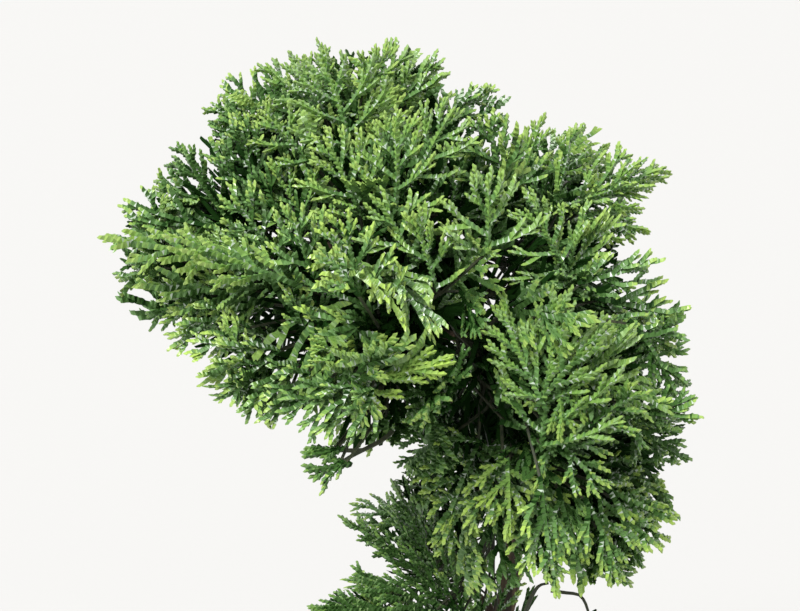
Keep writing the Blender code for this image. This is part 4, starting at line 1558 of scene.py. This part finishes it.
# %% Where they stand
# The tones in this table are partly painted light and shade: the darker ones are given to sprays that
# sit in shadow, and the lighter ones to sprays where the light falls.
NAMED_SPRAYS = (
    ("06", (-62, -86, 620), (-21, -89, 631), 10, "feather", 0.44, "fresh"),
    ("06", (-50, -90, 624), (-37, -88, 641), -25, "feather", 0.5, "shade"),
    ("06", (-74, -62, 646), (-116, -62, 653), 35, "long", 0.34, "bright"),
    ("06", (-64, -73, 646), (-96, -72, 659), 30, "long", 0.4, "bright"),
    ("06", (-74, -54, 630), (-107, -51, 641), 30, "feather", 0.45, "plain"),
    ("07", (4, -77, 600), (6, -64, 640), -8, "fan", 0.62, "sage"),
    ("07", (3, -76, 612), (-12, -69, 638), 20, "feather", 0.5, "sage"),
    ("07", (4, -76, 613), (20, -70, 635), -20, "feather", 0.5, "sage"),
    ("01", (16, -8, 639), (50, 3, 647), -5, "airy", 0.58, "bright"),
    ("01", (13, -8, 640), (24, 11, 659), 5, "airy", 0.42, "plain"),
    ("01", (23, -4, 636), (45, -4, 628), -5, "airy", 0.48, "bright"),
    ("cap", (2, -4, 646), (12, 8, 664), 10, "feather", 0.42, "bright"),
    ("07", (18, -53, 636), (40, -48, 639), 25, "feather", 0.5, "plain"),
    ("07", (24, -48, 627), (49, -46, 621), 25, "feather", 0.5, "tipped"),
    ("07", (25, -53, 623), (47, -53, 614), 25, "feather", 0.5, "plain"),
    ("07", (30, -63, 626), (46, -68, 609), 10, "airy", 0.5, "dull"),
    ("08", (28, -72, 603), (50, -68, 604), 20, "fan", 0.44, "dull"),
    ("08", (36, -51, 585), (55, -52, 576), 20, "fan", 0.44, "dull"),
    ("08", (26, -46, 567), (50, -47, 559), -20, "feather", 0.5, "tipped"),
    ("08", (23, -66, 576), (47, -71, 564), -25, "feather", 0.48, "tipped"),
    ("08", (24, -68, 572), (43, -75, 557), -25, "feather", 0.48, "tipped"),
    ("08", (20, -73, 573), (34, -82, 554), -25, "feather", 0.48, "tipped"),
    ("08", (12, -68, 572), (20, -82, 547), -25, "long", 0.42, "tipped"),
    ("07", (4, -83, 587), (7, -98, 560), -20, "long", 0.42, "tipped"),
    ("07", (-10, -55, 582), (19, -69, 565), -25, "long", 0.4, "tipped"),
    ("08", (-4, -69, 583), (-4, -81, 566), -20, "fan", 0.55, "fresh"),
    ("07", (-13, -59, 583), (-26, -74, 562), -20, "fan", 0.66, "tipped"),
    ("07", (-6, -66, 584), (-14, -80, 568), -10, "feather", 0.5, "tipped"),
    ("07", (8, -72, 615), (11, -82, 602), 0, "fan", 0.6, "bright"),
    ("07", (19, -77, 606), (30, -74, 617), 0, "fan", 0.62, "plain"),
    ("05", (-86, -60, 628), (-100, -64, 620), -40, "tuft", 0.5, "plain"),
    ("06", (-79, -68, 628), (-93, -72, 622), -40, "tuft", 0.46, "tipped"),
    ("06", (-75, -75, 627), (-88, -82, 618), -45, "tuft", 0.46, "plain"),
    ("06", (-70, -75, 624), (-84, -82, 615), -40, "tuft", 0.46, "shade"),
    ("06", (-65, -79, 622), (-78, -86, 613), -45, "tuft", 0.46, "dull"),
    ("06", (-61, -87, 624), (-72, -94, 615), -40, "tuft", 0.46, "shade"),
    ("06", (-55, -92, 625), (-64, -98, 618), -40, "tuft", 0.5, "dull"),
    ("06", (-77, -76, 626), (-81, -75, 638), 30, "tuft", 0.46, "bright"),
    ("06", (-62, -72, 635), (-65, -72, 645), 30, "tuft", 0.5, "plain"),
    ("05", (-92, -50, 629), (-106, -51, 629), -30, "tuft", 0.5, "plain"),
    ("06", (-53, -94, 623), (-59, -101, 615), -40, "tuft", 0.5, "dull"),
    ("06", (-43, -95, 623), (-47, -103, 615), -35, "tuft", 0.5, "dull"),
    ("05", (-88, -21, 642), (-107, -6, 657), -10, "airy", 0.54, "dull"),
    ("05", (-94, -35, 645), (-118, -28, 646), -10, "airy", 0.42, "shade"),
    ("05", (-105, -26, 628), (-122, -24, 619), 10, "airy", 0.56, "dull"),
    ("05", (-96, -45, 627), (-111, -43, 618), 10, "airy", 0.5, "dull"),
    ("04", (-76, 6, 655), (-99, 16, 657), -10, "feather", 0.56, "dull"),
    ("04", (-70, 13, 662), (-96, 24, 664), -10, "fan", 0.5, "shade"),
    ("03", (-63, -2, 671), (-80, 9, 678), -10, "fan", 0.52, "sage"),
    ("cap", (-50, -21, 667), (-55, -10, 691), 5, "fan", 0.74, "sage"),
    ("cap", (-37, -6, 674), (-39, 3, 690), 15, "fan", 0.6, "sage"),
    ("cap", (-33, -4, 674), (-21, 2, 684), 15, "feather", 0.56, "sage"),
    ("cap", (-22, 7, 662), (-3, 15, 670), 15, "feather", 0.46, "plain"),
    ("06", (-44, -78, 639), (-48, -76, 667), 0, "fan", 0.7, "tipped"),
    ("06", (-47, -44, 655), (-55, -43, 677), 5, "fan", 0.7, "bright"),
    ("cap", (-36, -48, 658), (-33, -46, 683), -5, "fan", 0.72, "bright"),
    ("06", (-47, -90, 654), (-54, -88, 665), 10, "feather", 0.55, "plain"),
    ("06", (-12, -66, 653), (-12, -67, 675), 0, "fan", 0.78, "sage"),
    ("06", (-26, -63, 642), (-30, -63, 663), 0, "fan", 0.7, "bright"),
    ("05", (-71, -55, 648), (-80, -55, 666), 5, "fan", 0.7, "plain"),
    ("05", (-63, -25, 642), (-72, -25, 662), -10, "fan", 0.7, "bright"),
    ("cap", (-29, -26, 659), (-21, -25, 679), 8, "fan", 0.7, "sage"),
    ("cap", (-20, -15, 641), (-13, -13, 663), -8, "fan", 0.7, "plain"),
    ("06", (-32, -58, 646), (-41, -59, 665), 8, "fan", 0.68, "sage"),
    ("06", (-58, -75, 651), (-64, -77, 669), -8, "fan", 0.66, "plain"),
    ("01", (12, -35, 633), (-2, -35, 654), 8, "fan", 0.7, "sage"),
    ("cap", (-4, -16, 650), (-10, -15, 672), 8, "fan", 0.66, "plain"),
    ("05", (-78, -24, 653), (-81, -22, 674), 8, "fan", 0.66, "shade"),
    ("08", (-14, -53, 561), (-23, -65, 547), -20, "fan", 0.6, "tipped"),
    ("08", (6, -70, 566), (4, -81, 554), -20, "fan", 0.6, "tipped"),
    ("08", (26, -61, 552), (29, -70, 540), -20, "fan", 0.6, "tipped"),
    ("07", (9, -74, 597), (20, -85, 585), -15, "fan", 0.66, "tipped"),
    ("09", (49, -8, 539), (55, -18, 525), -15, "fan", 0.6, "tipped"),
    ("07", (-20, -56, 589), (-39, -54, 598), 0, "fan", 0.8, "under"),
    ("06", (-24, -81, 615), (-35, -77, 627), 0, "fan", 0.8, "under"),
    ("06", (-37, -60, 598), (-55, -55, 606), 0, "fan", 0.74, "under"),
    ("03", (-59, 47, 658), (-69, 51, 672), 0, "fan", 0.66, "bright"),
    ("cap", (-45, -9, 677), (-35, -6, 689), 0, "fan", 0.66, "bright"),
    ("cap", (-64, -21, 662), (-75, -17, 676), 0, "fan", 0.66, "bright"),
    ("10", (-18, -18, 489), (-52, -2, 522), 10, "long", 0.24, "dull"),
    ("10", (-16, -18, 489), (-38, 4, 527), 10, "long", 0.4, "dull"),
    ("10", (-21, -20, 489), (-54, -16, 499), 20, "feather", 0.5, "dull"),
    ("10", (-24, -22, 488), (-68, -21, 492), 25, "long", 0.44, "dull"),
    ("10", (-13, -19, 487), (-21, -5, 515), 0, "long", 0.34, "plain"),
    ("10", (-6, -20, 486), (-8, -8, 508), 0, "long", 0.34, "plain"),
    ("06", (-51, -100, 607), (-60, -102, 607), 10, "feather", 0.4, "dull"),
    ("06", (-52, -101, 606), (-57, -104, 602), -10, "feather", 0.36, "shade"),
    ("06", (-53, -98, 611), (-60, -98, 611), 10, "feather", 0.44, "dull"),
    ("10", (1, -19, 487), (8, -7, 504), 0, "feather", 0.44, "plain"),
    ("07", (34, -71, 604), (50, -70, 601), 20, "feather", 0.56, "plain"),
    ("08", (32, -57, 562), (49, -61, 550), -20, "feather", 0.5, "tipped"),
    ("04", (-82, 10, 658), (-97, 18, 665), -10, "feather", 0.5, "plain"),
    ("06", (-49, -95, 624), (-54, -102, 615), -30, "tuft", 0.5, "plain"),
    ("10", (-42, -19, 487), (-68, -21, 491), 20, "feather", 0.4, "dull"),
    ("03", (-60, -5, 672), (-70, 0, 685), 0, "fan", 0.55, "sage"),
    ("02", (24, 26, 636), (37, 37, 644), 0, "airy", 0.5, "bright"),
    ("04", (-97, 13, 639), (-112, 23, 645), -10, "feather", 0.5, "dull"),
    ("05", (-104, -37, 646), (-117, -30, 646), -10, "feather", 0.4, "plain"),
    ("01", (34, 1, 642), (52, 7, 646), 0, "feather", 0.4, "bright"),
    ("06", (-40, -71, 600), (-46, -76, 595), -30, "feather", 0.42, "plain"),
    ("02", (22, 31, 639), (30, 43, 649), 0, "feather", 0.45, "bright"),
    ("06", (-54, -99, 610), (-60, -100, 608), 0, "feather", 0.4, "dull"),
    ("05", (-109, -30, 628), (-122, -27, 622), 10, "feather", 0.4, "plain"),
    ("05", (-100, -15, 644), (-112, -5, 649), 0, "feather", 0.4, "plain"),
    ("02", (28, 0, 643), (39, 10, 652), 0, "feather", 0.4, "bright"),
    ("cap", (-31, -5, 674), (-19, 0, 680), 10, "feather", 0.32, "sage"),
    ("03", (-61, 49, 658), (-60, 53, 675), 0, "feather", 0.4, "sage"),
)

# %% One of them


def named_spray(number, foot, tip, roll, kind, side, tone):
    """A spray grown to its own length from its foot to its tip, facing the front and rolled."""
    foot, tip, roll = MM * Vector(foot), MM * Vector(tip), math.radians(roll)
    length = (tip - foot).length
    axis = (tip - foot) / length
    toward = FRONT_VIEWER - 0.5 * (foot + tip)
    toward = (toward - axis * toward.dot(axis)).normalized()
    rule = {**KINDS[kind], "length": (length + BASE_BACK) / SPRAY_REACH, "side": side}
    detail = SLENDER if kind == "tuft" else FINE
    return {
        "palm": foot,
        "axis": axis,
        "face": toward * math.cos(roll) + axis.cross(toward) * math.sin(roll),
        "length": length,
        "shape": as_arrays(grow_spray(rule, detail, FIRST_NAMED_SEED + number)),
        "tone": tone,
        "seed": number,
        "clipped": False,
    }


print("sprays with a place of their own:", len(NAMED_SPRAYS))


# %% [markdown]
# ## Clipping
#
# A topiary gets its outline from shears. The gaps that they keep open, between the turns and
# just outside the crown, are given as balls: a middle and a radius, in millimetres. A spray whose
# tip would reach into a ball is cut away with its twig. It is still drawn from the seeds, so that
# every other spray stays as it is. Masses with many placed sprays also get fewer filling ones.

# %% Gaps that stay open
GAPS = (
    ((-103, -38, 586), 13),
    ((-128, -18, 602), 7),
    ((-128, -20, 636), 7),
    ((-108, 30, 651), 13),
    ((-89, 17, 677), 5),
    ((-68, -98, 608), 7),
    ((-31, 20, 673), 7),
    ((-42, 12, 690), 5),
    ((-3, 24, 672), 6),
    ((-20, 9, 684), 5),
    ((-13, 58, 658), 6),
    ((3, -23, 674), 6),
    ((42, 2, 620), 12),
    ((51, -64, 546), 8),
    ((66, -15, 546), 8),
    ((70, 13, 521), 7),
    ((66, 23, 509), 5),
    ((-55, 29, 473), 7),
    ((-72, -7, 478), 6),
    ((66, 71, 420), 10),
    ((54, 46, 432), 7),
    ((29, 46, 440), 15),
)


def in_a_gap(spray):
    """True if the spray's tip reaches into a gap that the shears keep open."""
    tip = spray["palm"] + spray["axis"] * spray["length"]
    return any((tip - MM * Vector(middle)).length < MM * radius for middle, radius in GAPS)


# %% All the growth
for mass in MASSES:
    mass["named"] = []
    mass["first"] = first_growth(mass)
    centre = as_row(mass["centre"])
    reach = max(np.linalg.norm(s["probes"] - centre, axis=1).max() for s in mass["first"])
    mass["fill"] = fill_growth(mass, reach)
    mass["inner_shade"] = inner_growth(mass)
    for spray in mass["first"] + mass["fill"] + mass["inner_shade"]:
        spray["clipped"] = in_a_gap(spray)
BY_NAME = {mass["name"]: mass for mass in MASSES}
for number, (name, *row) in enumerate(NAMED_SPRAYS, 1):
    BY_NAME[name]["named"].append(named_spray(number, *row))
for stage in ("named", "first", "fill", "inner_shade"):
    print(stage, "growth:", sum(len(mass[stage]) for mass in MASSES), "sprays")

# %% [markdown]
# ## Leaf colours
#
# A spray is darkest and bluest at its foot, where it is old and, in most tones, also painted
# near black as shade. It is mid green along its fingers and lime at its tips, and some scales
# carry a pale fleck that is partly a bloom of wax and partly a painted glint. Sprays also differ
# from one another, partly at random and partly by painted light and shade: lighter ones at the
# top, where the light falls, duller ones at the sides and below, and almost black green inside,
# which is painted shade. Noise over the plant would blur these steps. So the colours are plain
# materials: a tone gives each of a spray's six zones one of them, and only the roughness and the
# relief come from the grain. Young twigs are dark, between green and brown.

# %% Leaf materials
LEAF_COLOURS = {
    # Near black: painted shade, for growth inside the crown and for the feet of many sprays.
    "inner_shade": (0.010, 0.034, 0.006),
    "deep": (0.046, 0.108, 0.024),
    "blue": (0.108, 0.218, 0.062),
    "green": (0.168, 0.305, 0.066),
    "bright": (0.232, 0.370, 0.080),
    "sage": (0.236, 0.374, 0.132),
    "young": (0.292, 0.430, 0.096),
    "lime": (0.340, 0.500, 0.092),
    # A pale fleck: partly wax bloom, partly a painted glint.
    "bloom_glint": (0.420, 0.500, 0.400),
}
LEAF_NAMES = list(LEAF_COLOURS)
LEAF_ROUGHNESS = (0.20, 0.44)
LEAF_BUMP = (0.25, 0.0003)
LEAF_GRAIN = {"scale": 1400.0, "detail": 2.0}
LEAF_GLOSS = {"inner_shade": 0.03, "deep": 0.22, "bloom_glint": 0.60}
USUAL_GLOSS = 0.48
# A young twig: still green, drying to brown.
TWIG_LOOK = {
    "colours": ((0.012, 0.020, 0.007), (0.045, 0.050, 0.021)),
    "roughness": (0.55, 0.80),
    "bump": (0.4, 0.0004),
    "grain": {"scale": 900.0},
}


def leaf_finish(name, colour):
    """A waxy scale leaf of one plain colour, with a fine satin grain."""
    leaf = new_material(f"leaf_{name}")
    shader = leaf.node_tree.nodes["Principled BSDF"]
    shader.inputs["Base Color"].default_value = (*colour, 1.0)
    shader.inputs["Specular IOR Level"].default_value = LEAF_GLOSS.get(name, USUAL_GLOSS)
    grain = add_grain(leaf, **LEAF_GRAIN)
    vary_roughness(leaf, grain.outputs["Mask"], *LEAF_ROUGHNESS)
    add_bump(leaf, grain.outputs["Height"], *LEAF_BUMP)
    return leaf


TWIG = two_toned_finish("green_twig", TWIG_LOOK)
LEAVES = [leaf_finish(name, colour) for name, colour in LEAF_COLOURS.items()]
# The first two tones are painted shade: near black for growth inside, and dark for fill sprays set
# deep in a mass and for backing fans.
TONES = {
    "inner_shade": ("inner_shade",) * len(ZONES),
    "under": ("inner_shade", "inner_shade", "deep", "deep", "blue", "deep"),
    "dull": ("inner_shade", "deep", "deep", "blue", "green", "sage"),
    "shade": ("inner_shade", "deep", "deep", "blue", "young", "bloom_glint"),
    "plain": ("inner_shade", "deep", "blue", "green", "young", "bloom_glint"),
    "sage": ("deep", "blue", "green", "sage", "bright", "bloom_glint"),
    "bright": ("deep", "blue", "green", "bright", "young", "bloom_glint"),
    "tipped": ("inner_shade", "deep", "blue", "bright", "lime", "bloom_glint"),
    "fresh": ("deep", "green", "bright", "young", "lime", "bloom_glint"),
}
TONE_SLOTS = {tone: np.array([LEAF_NAMES.index(n) for n in names]) for tone, names in TONES.items()}
OUTER_TONES = ("dull", "plain", "sage", "bright", "fresh")
print("leaf colours:", len(LEAVES), "tones:", len(TONES))

# %% [markdown]
# ## Laying the sprays
#
# Each place gets a copy of one modelled spray, sized, drooped, cupped and twisted a little by a
# seeded draw, then turned to its own axis and face. All sprays of one mass are joined into one
# mesh. Objects for every spray would choke Blender, and instances would be lost on export, so
# the copies are made as arrays of corners and written into the mesh in one go.

# %% Copies of a spray
# Placed sprays take only this share of the bend, the twist and most of the droop.
CALM = 0.35
DROOPS = (0.06, 0.26)
LEAST_DROOP = 0.2
CUPS = (-0.06, 0.22)
BEND = 0.12
TWIST = 0.7


def laid_corners(shape, spray, draw, wild=1.0):
    """The corners of a modelled spray, bent and put in place."""
    full = spray["length"] + BASE_BACK
    scale = full / shape["corners"][:, 0].max()
    x, y, z = (shape["corners"] * scale).T
    share = np.clip(x / full, 0, 1.2)
    droop, cup = draw.uniform(*DROOPS), draw.uniform(*CUPS)
    droop *= LEAST_DROOP + (1 - LEAST_DROOP) * wild
    bend, twist = wild * draw.uniform(-BEND, BEND), wild * draw.uniform(-TWIST, TWIST)
    z = z - droop * full * share**2 - cup * y**2 / full
    y = y + bend * full * share**2
    turn = twist * share
    y, z = y * np.cos(turn) - z * np.sin(turn), y * np.sin(turn) + z * np.cos(turn)
    axis, face = as_row(spray["axis"]), as_row(spray["face"])
    side = np.cross(face, axis)
    foot = as_row(spray["palm"]) - axis * BASE_BACK
    return foot + np.outer(x, axis) + np.outer(y, side) + np.outer(z, face)


def leaf_mesh(name, laid):
    """One mesh of many laid sprays: (corners, shape, tone) rows, joined."""
    corners = np.vstack([points for points, _, _ in laid])
    starts = np.cumsum([0] + [len(points) for points, _, _ in laid[:-1]])
    loops = np.concatenate([s["loops"] + start for (_, s, _), start in zip(laid, starts)])
    sizes = np.concatenate([s["sizes"] for _, s, _ in laid])
    slots = np.concatenate([TONE_SLOTS[tone][s["zones"]] for _, s, tone in laid])
    mesh = bpy.data.meshes.new(name)
    mesh.vertices.add(len(corners))
    mesh.vertices.foreach_set("co", corners.astype(np.float32).ravel())
    mesh.loops.add(len(loops))
    mesh.loops.foreach_set("vertex_index", loops.astype(np.int32))
    mesh.polygons.add(len(sizes))
    mesh.polygons.foreach_set("loop_start", (np.cumsum(sizes) - sizes).astype(np.int32))
    mesh.polygons.foreach_set("loop_total", sizes)
    for leaf in LEAVES:
        mesh.materials.append(leaf)
    mesh.polygons.foreach_set("material_index", slots.astype(np.int32))
    mesh.update(calc_edges=True)
    mesh.shade_flat()
    return mesh


# %% Which tone a spray has
SUNNY_SIDE = Vector((0.10, -0.10, 0.98)).normalized()
CROWN_MIDDLE = Vector((CROWN_AXIS_X, 0, 0.622))
# A level from 0 to 1 picks among the outer tones: partly a random spread, partly painted
# light on the lit side and painted shade on the lower turns.
USUAL_TONE_LEVEL = 0.36
SUN_PAINTED_LIGHT = 0.42
FRESHNESS_SPREAD = 0.34
LOWER_PAINTED_SHADE = 0.15


def outer_tone(spray, mass, draw):
    """Lighter on the lit side and at the outside, darker behind and below and on the lower turns:
    painted light and shade, with a random spread.
    """
    middle = CROWN_MIDDLE if mass["in_crown"] else Vector((0, 0, mass["centre"].z))
    outward = (spray["palm"] - middle).normalized()
    # Painted light: sprays on the side that faces the light, mostly the top, get a lighter tone.
    tone_and_light = USUAL_TONE_LEVEL + SUN_PAINTED_LIGHT * outward.dot(SUNNY_SIDE)
    tone_and_light += draw.uniform(-FRESHNESS_SPREAD, FRESHNESS_SPREAD)
    # Painted shade: the lower turns get a darker tone, as if shaded by the crown.
    if not mass["in_crown"]:
        tone_and_light -= LOWER_PAINTED_SHADE
    place = min(len(OUTER_TONES) - 1, max(0, int(tone_and_light * len(OUTER_TONES))))
    return OUTER_TONES[place]


def lay_mass(mass):
    """All the foliage of one mass, as one mesh object."""
    draw = growth_draw(mass, LAYING)
    shapes = FINE_SPRAYS if mass["in_crown"] else PLAIN_SPRAYS
    laid = []
    for spray in mass["first"] + mass["fill"]:
        shape = draw.choice(shapes)
        # Fill sprays set deep in the mass are painted dark, as shade.
        tone = "under" if spray.get("deep") else outer_tone(spray, mass, draw)
        corners = laid_corners(shape, spray, draw)
        if not spray["clipped"]:
            laid.append((corners, shape, tone))
    for spray in mass["named"]:
        corners = laid_corners(spray["shape"], spray, random.Random(spray["seed"]), CALM)
        laid.append((corners, spray["shape"], spray["tone"]))
    for spray in mass["inner_shade"]:
        shape = draw.choice(ROUGH_SPRAYS)
        corners = laid_corners(shape, spray, draw)
        if not spray["clipped"]:
            # The inner growth is painted near black, as shade.
            laid.append((corners, shape, "inner_shade"))
    return new_object(f"needles_{mass['name']}", leaf_mesh("needles", laid))


needles = {mass["name"]: lay_mass(mass) for mass in MASSES}
triangles = {
    name: sum(len(face.vertices) - 2 for face in thing.data.polygons)
    for name, thing in needles.items()
}
print("leaf triangles:", sum(triangles.values()), "most in one piece:", max(triangles.values()))

# %% [markdown]
# ## Twigs
#
# Every spray is carried: a twig leaves the mass's stem, curves out and ends in the spray's foot.
# They show in the gaps and from below. A few bare ones hang free of the foliage and have their
# own points. A Skin modifier or curves could draw them, but many hundred thin tubes are lighter
# as arrays, with four sides and a few rings each.

# %% Measures of the twigs, and the bare ones
TWIG_ROOT_RADIUS = 0.0007
TWIG_END_RADIUS = 0.00045
TWIG_SIDES = 4
TWIG_RINGS = 5
TWIG_STARTS = (0.3, 1.1)
TWIG_MIDDLE = 0.55
TWIG_CURVE = 0.15
TWIG_JOG = 0.002
STEM_RINGS = 8
STEM_PAST_MIDDLE = 0.3
BARE_ROOT_RADIUS = 0.0008
BARE_END_RADIUS = 0.0005
BARE_RINGS = 9
NAMED_TWIGS = (
    ("06", ((-37, -83, 606), (-40, -86, 605), (-45, -89, 604), (-50, -91, 602), (-53, -93, 600))),
    ("06", ((-45, -89, 604), (-50, -89, 604), (-54, -89, 604))),
    ("08", ((6, -51, 514), (8, -50, 520), (10, -50, 524), (13, -50, 525))),
    ("08", ((14, -49, 521), (19, -50, 521), (23, -51, 521), (25, -53, 519), (26, -55, 516))),
)

# %% A twig's line and its tube


def twig_line(mass, spray, draw):
    """A curved line from the mass's stem to a spray's foot."""
    foot = spray["palm"] - spray["axis"] * 0.5 * BASE_BACK
    start = mass["entry"].lerp(mass["centre"], draw.uniform(*TWIG_STARTS))
    middle = start.lerp(foot, TWIG_MIDDLE) - spray["axis"] * TWIG_CURVE * (foot - start).length
    middle += Vector([draw.uniform(-TWIG_JOG, TWIG_JOG) for _ in range(3)])
    return [start, start.lerp(middle, TWIG_MIDDLE), middle, foot]


def tube_arrays(line, root_radius, end_radius, rings, sides):
    """Corners and faces of a thin closed tube along a line."""
    frames = limb_frames(partial(through_points, line), rings)
    corners = []
    for k, (centre, side, other) in enumerate(frames):
        radius = root_radius + (end_radius - root_radius) * k / (rings - 1)
        for m in range(sides):
            turn = 2 * math.pi * m / sides
            corners.append(centre + radius * (math.cos(turn) * side + math.sin(turn) * other))
    faces = []
    for ring in range(rings - 1):
        for m in range(sides):
            a, b = ring * sides + m, ring * sides + (m + 1) % sides
            faces.append((a, b, b + sides, a + sides))
    faces.append(tuple(reversed(range(sides))))
    faces.append(tuple(range((rings - 1) * sides, rings * sides)))
    return corners, faces


# %% All the twigs of a mass


def make_twigs(name, lines):
    """Many tubes joined in one object."""
    corners, faces = [], []
    for line, root_radius, end_radius, rings in lines:
        tube, tube_faces = tube_arrays(line, root_radius, end_radius, rings, TWIG_SIDES)
        faces += [tuple(k + len(corners) for k in face) for face in tube_faces]
        corners += tube
    mesh = bpy.data.meshes.new(name)
    mesh.from_pydata(corners, [], faces)
    mesh.update()
    mesh.materials.append(TWIG)
    return new_object(name, mesh)


def mass_twigs(mass):
    """The stem and the twigs of one mass."""
    draw = growth_draw(mass, TWIGS)
    stem = [mass["entry"], mass["entry"].lerp(mass["centre"], 0.5), mass["centre"]]
    stem.append(mass["centre"] - mass["inward"] * STEM_PAST_MIDDLE * mass["core"][0])
    lines = [(stem, BOUGH_TIP_RADIUS, TWIG_ROOT_RADIUS, STEM_RINGS)]
    for spray in mass["named"] + mass["first"] + mass["fill"]:
        line = twig_line(mass, spray, draw)
        if not spray["clipped"]:
            lines.append((line, TWIG_ROOT_RADIUS, TWIG_END_RADIUS, TWIG_RINGS))
    for name, points in NAMED_TWIGS:
        if name == mass["name"]:
            line = [MM * Vector(point) for point in points]
            lines.append((line, BARE_ROOT_RADIUS, BARE_END_RADIUS, BARE_RINGS))
    return make_twigs(f"twigs_{mass['name']}", lines)


twigs = {mass["name"]: mass_twigs(mass) for mass in MASSES}
print("twig faces:", sum(len(thing.data.polygons) for thing in twigs.values()))

# %% [markdown]
# ## Hand over
#
# Every finished piece rides on the plant's one body and stands for the solid that it covers.
# Then both boxes are written down, so that they can be compared.

# %% Ride and replace


def hand_over(piece, slot, *nodes):
    """Tie a finished piece to the model."""
    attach(piece, "root")
    if nodes:
        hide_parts(*nodes)


nothing_selected()
hand_over(pot, "pot", "pot")
hand_over(soil, "soil", "soil")
hand_over(crumbs, "soil")
hand_over(trunk, "bark", "trunk")
for name, bough in boughs.items():
    hand_over(bough, "bark", f"bough_{name}")
for name, piece in needles.items():
    hand_over(piece, "foliage", f"foliage_{name}")
for name, piece in twigs.items():
    hand_over(piece, "bark")

shown_box = [list(corner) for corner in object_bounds()]
print("shown model:", [[round(value, 4) for value in corner] for corner in shown_box])
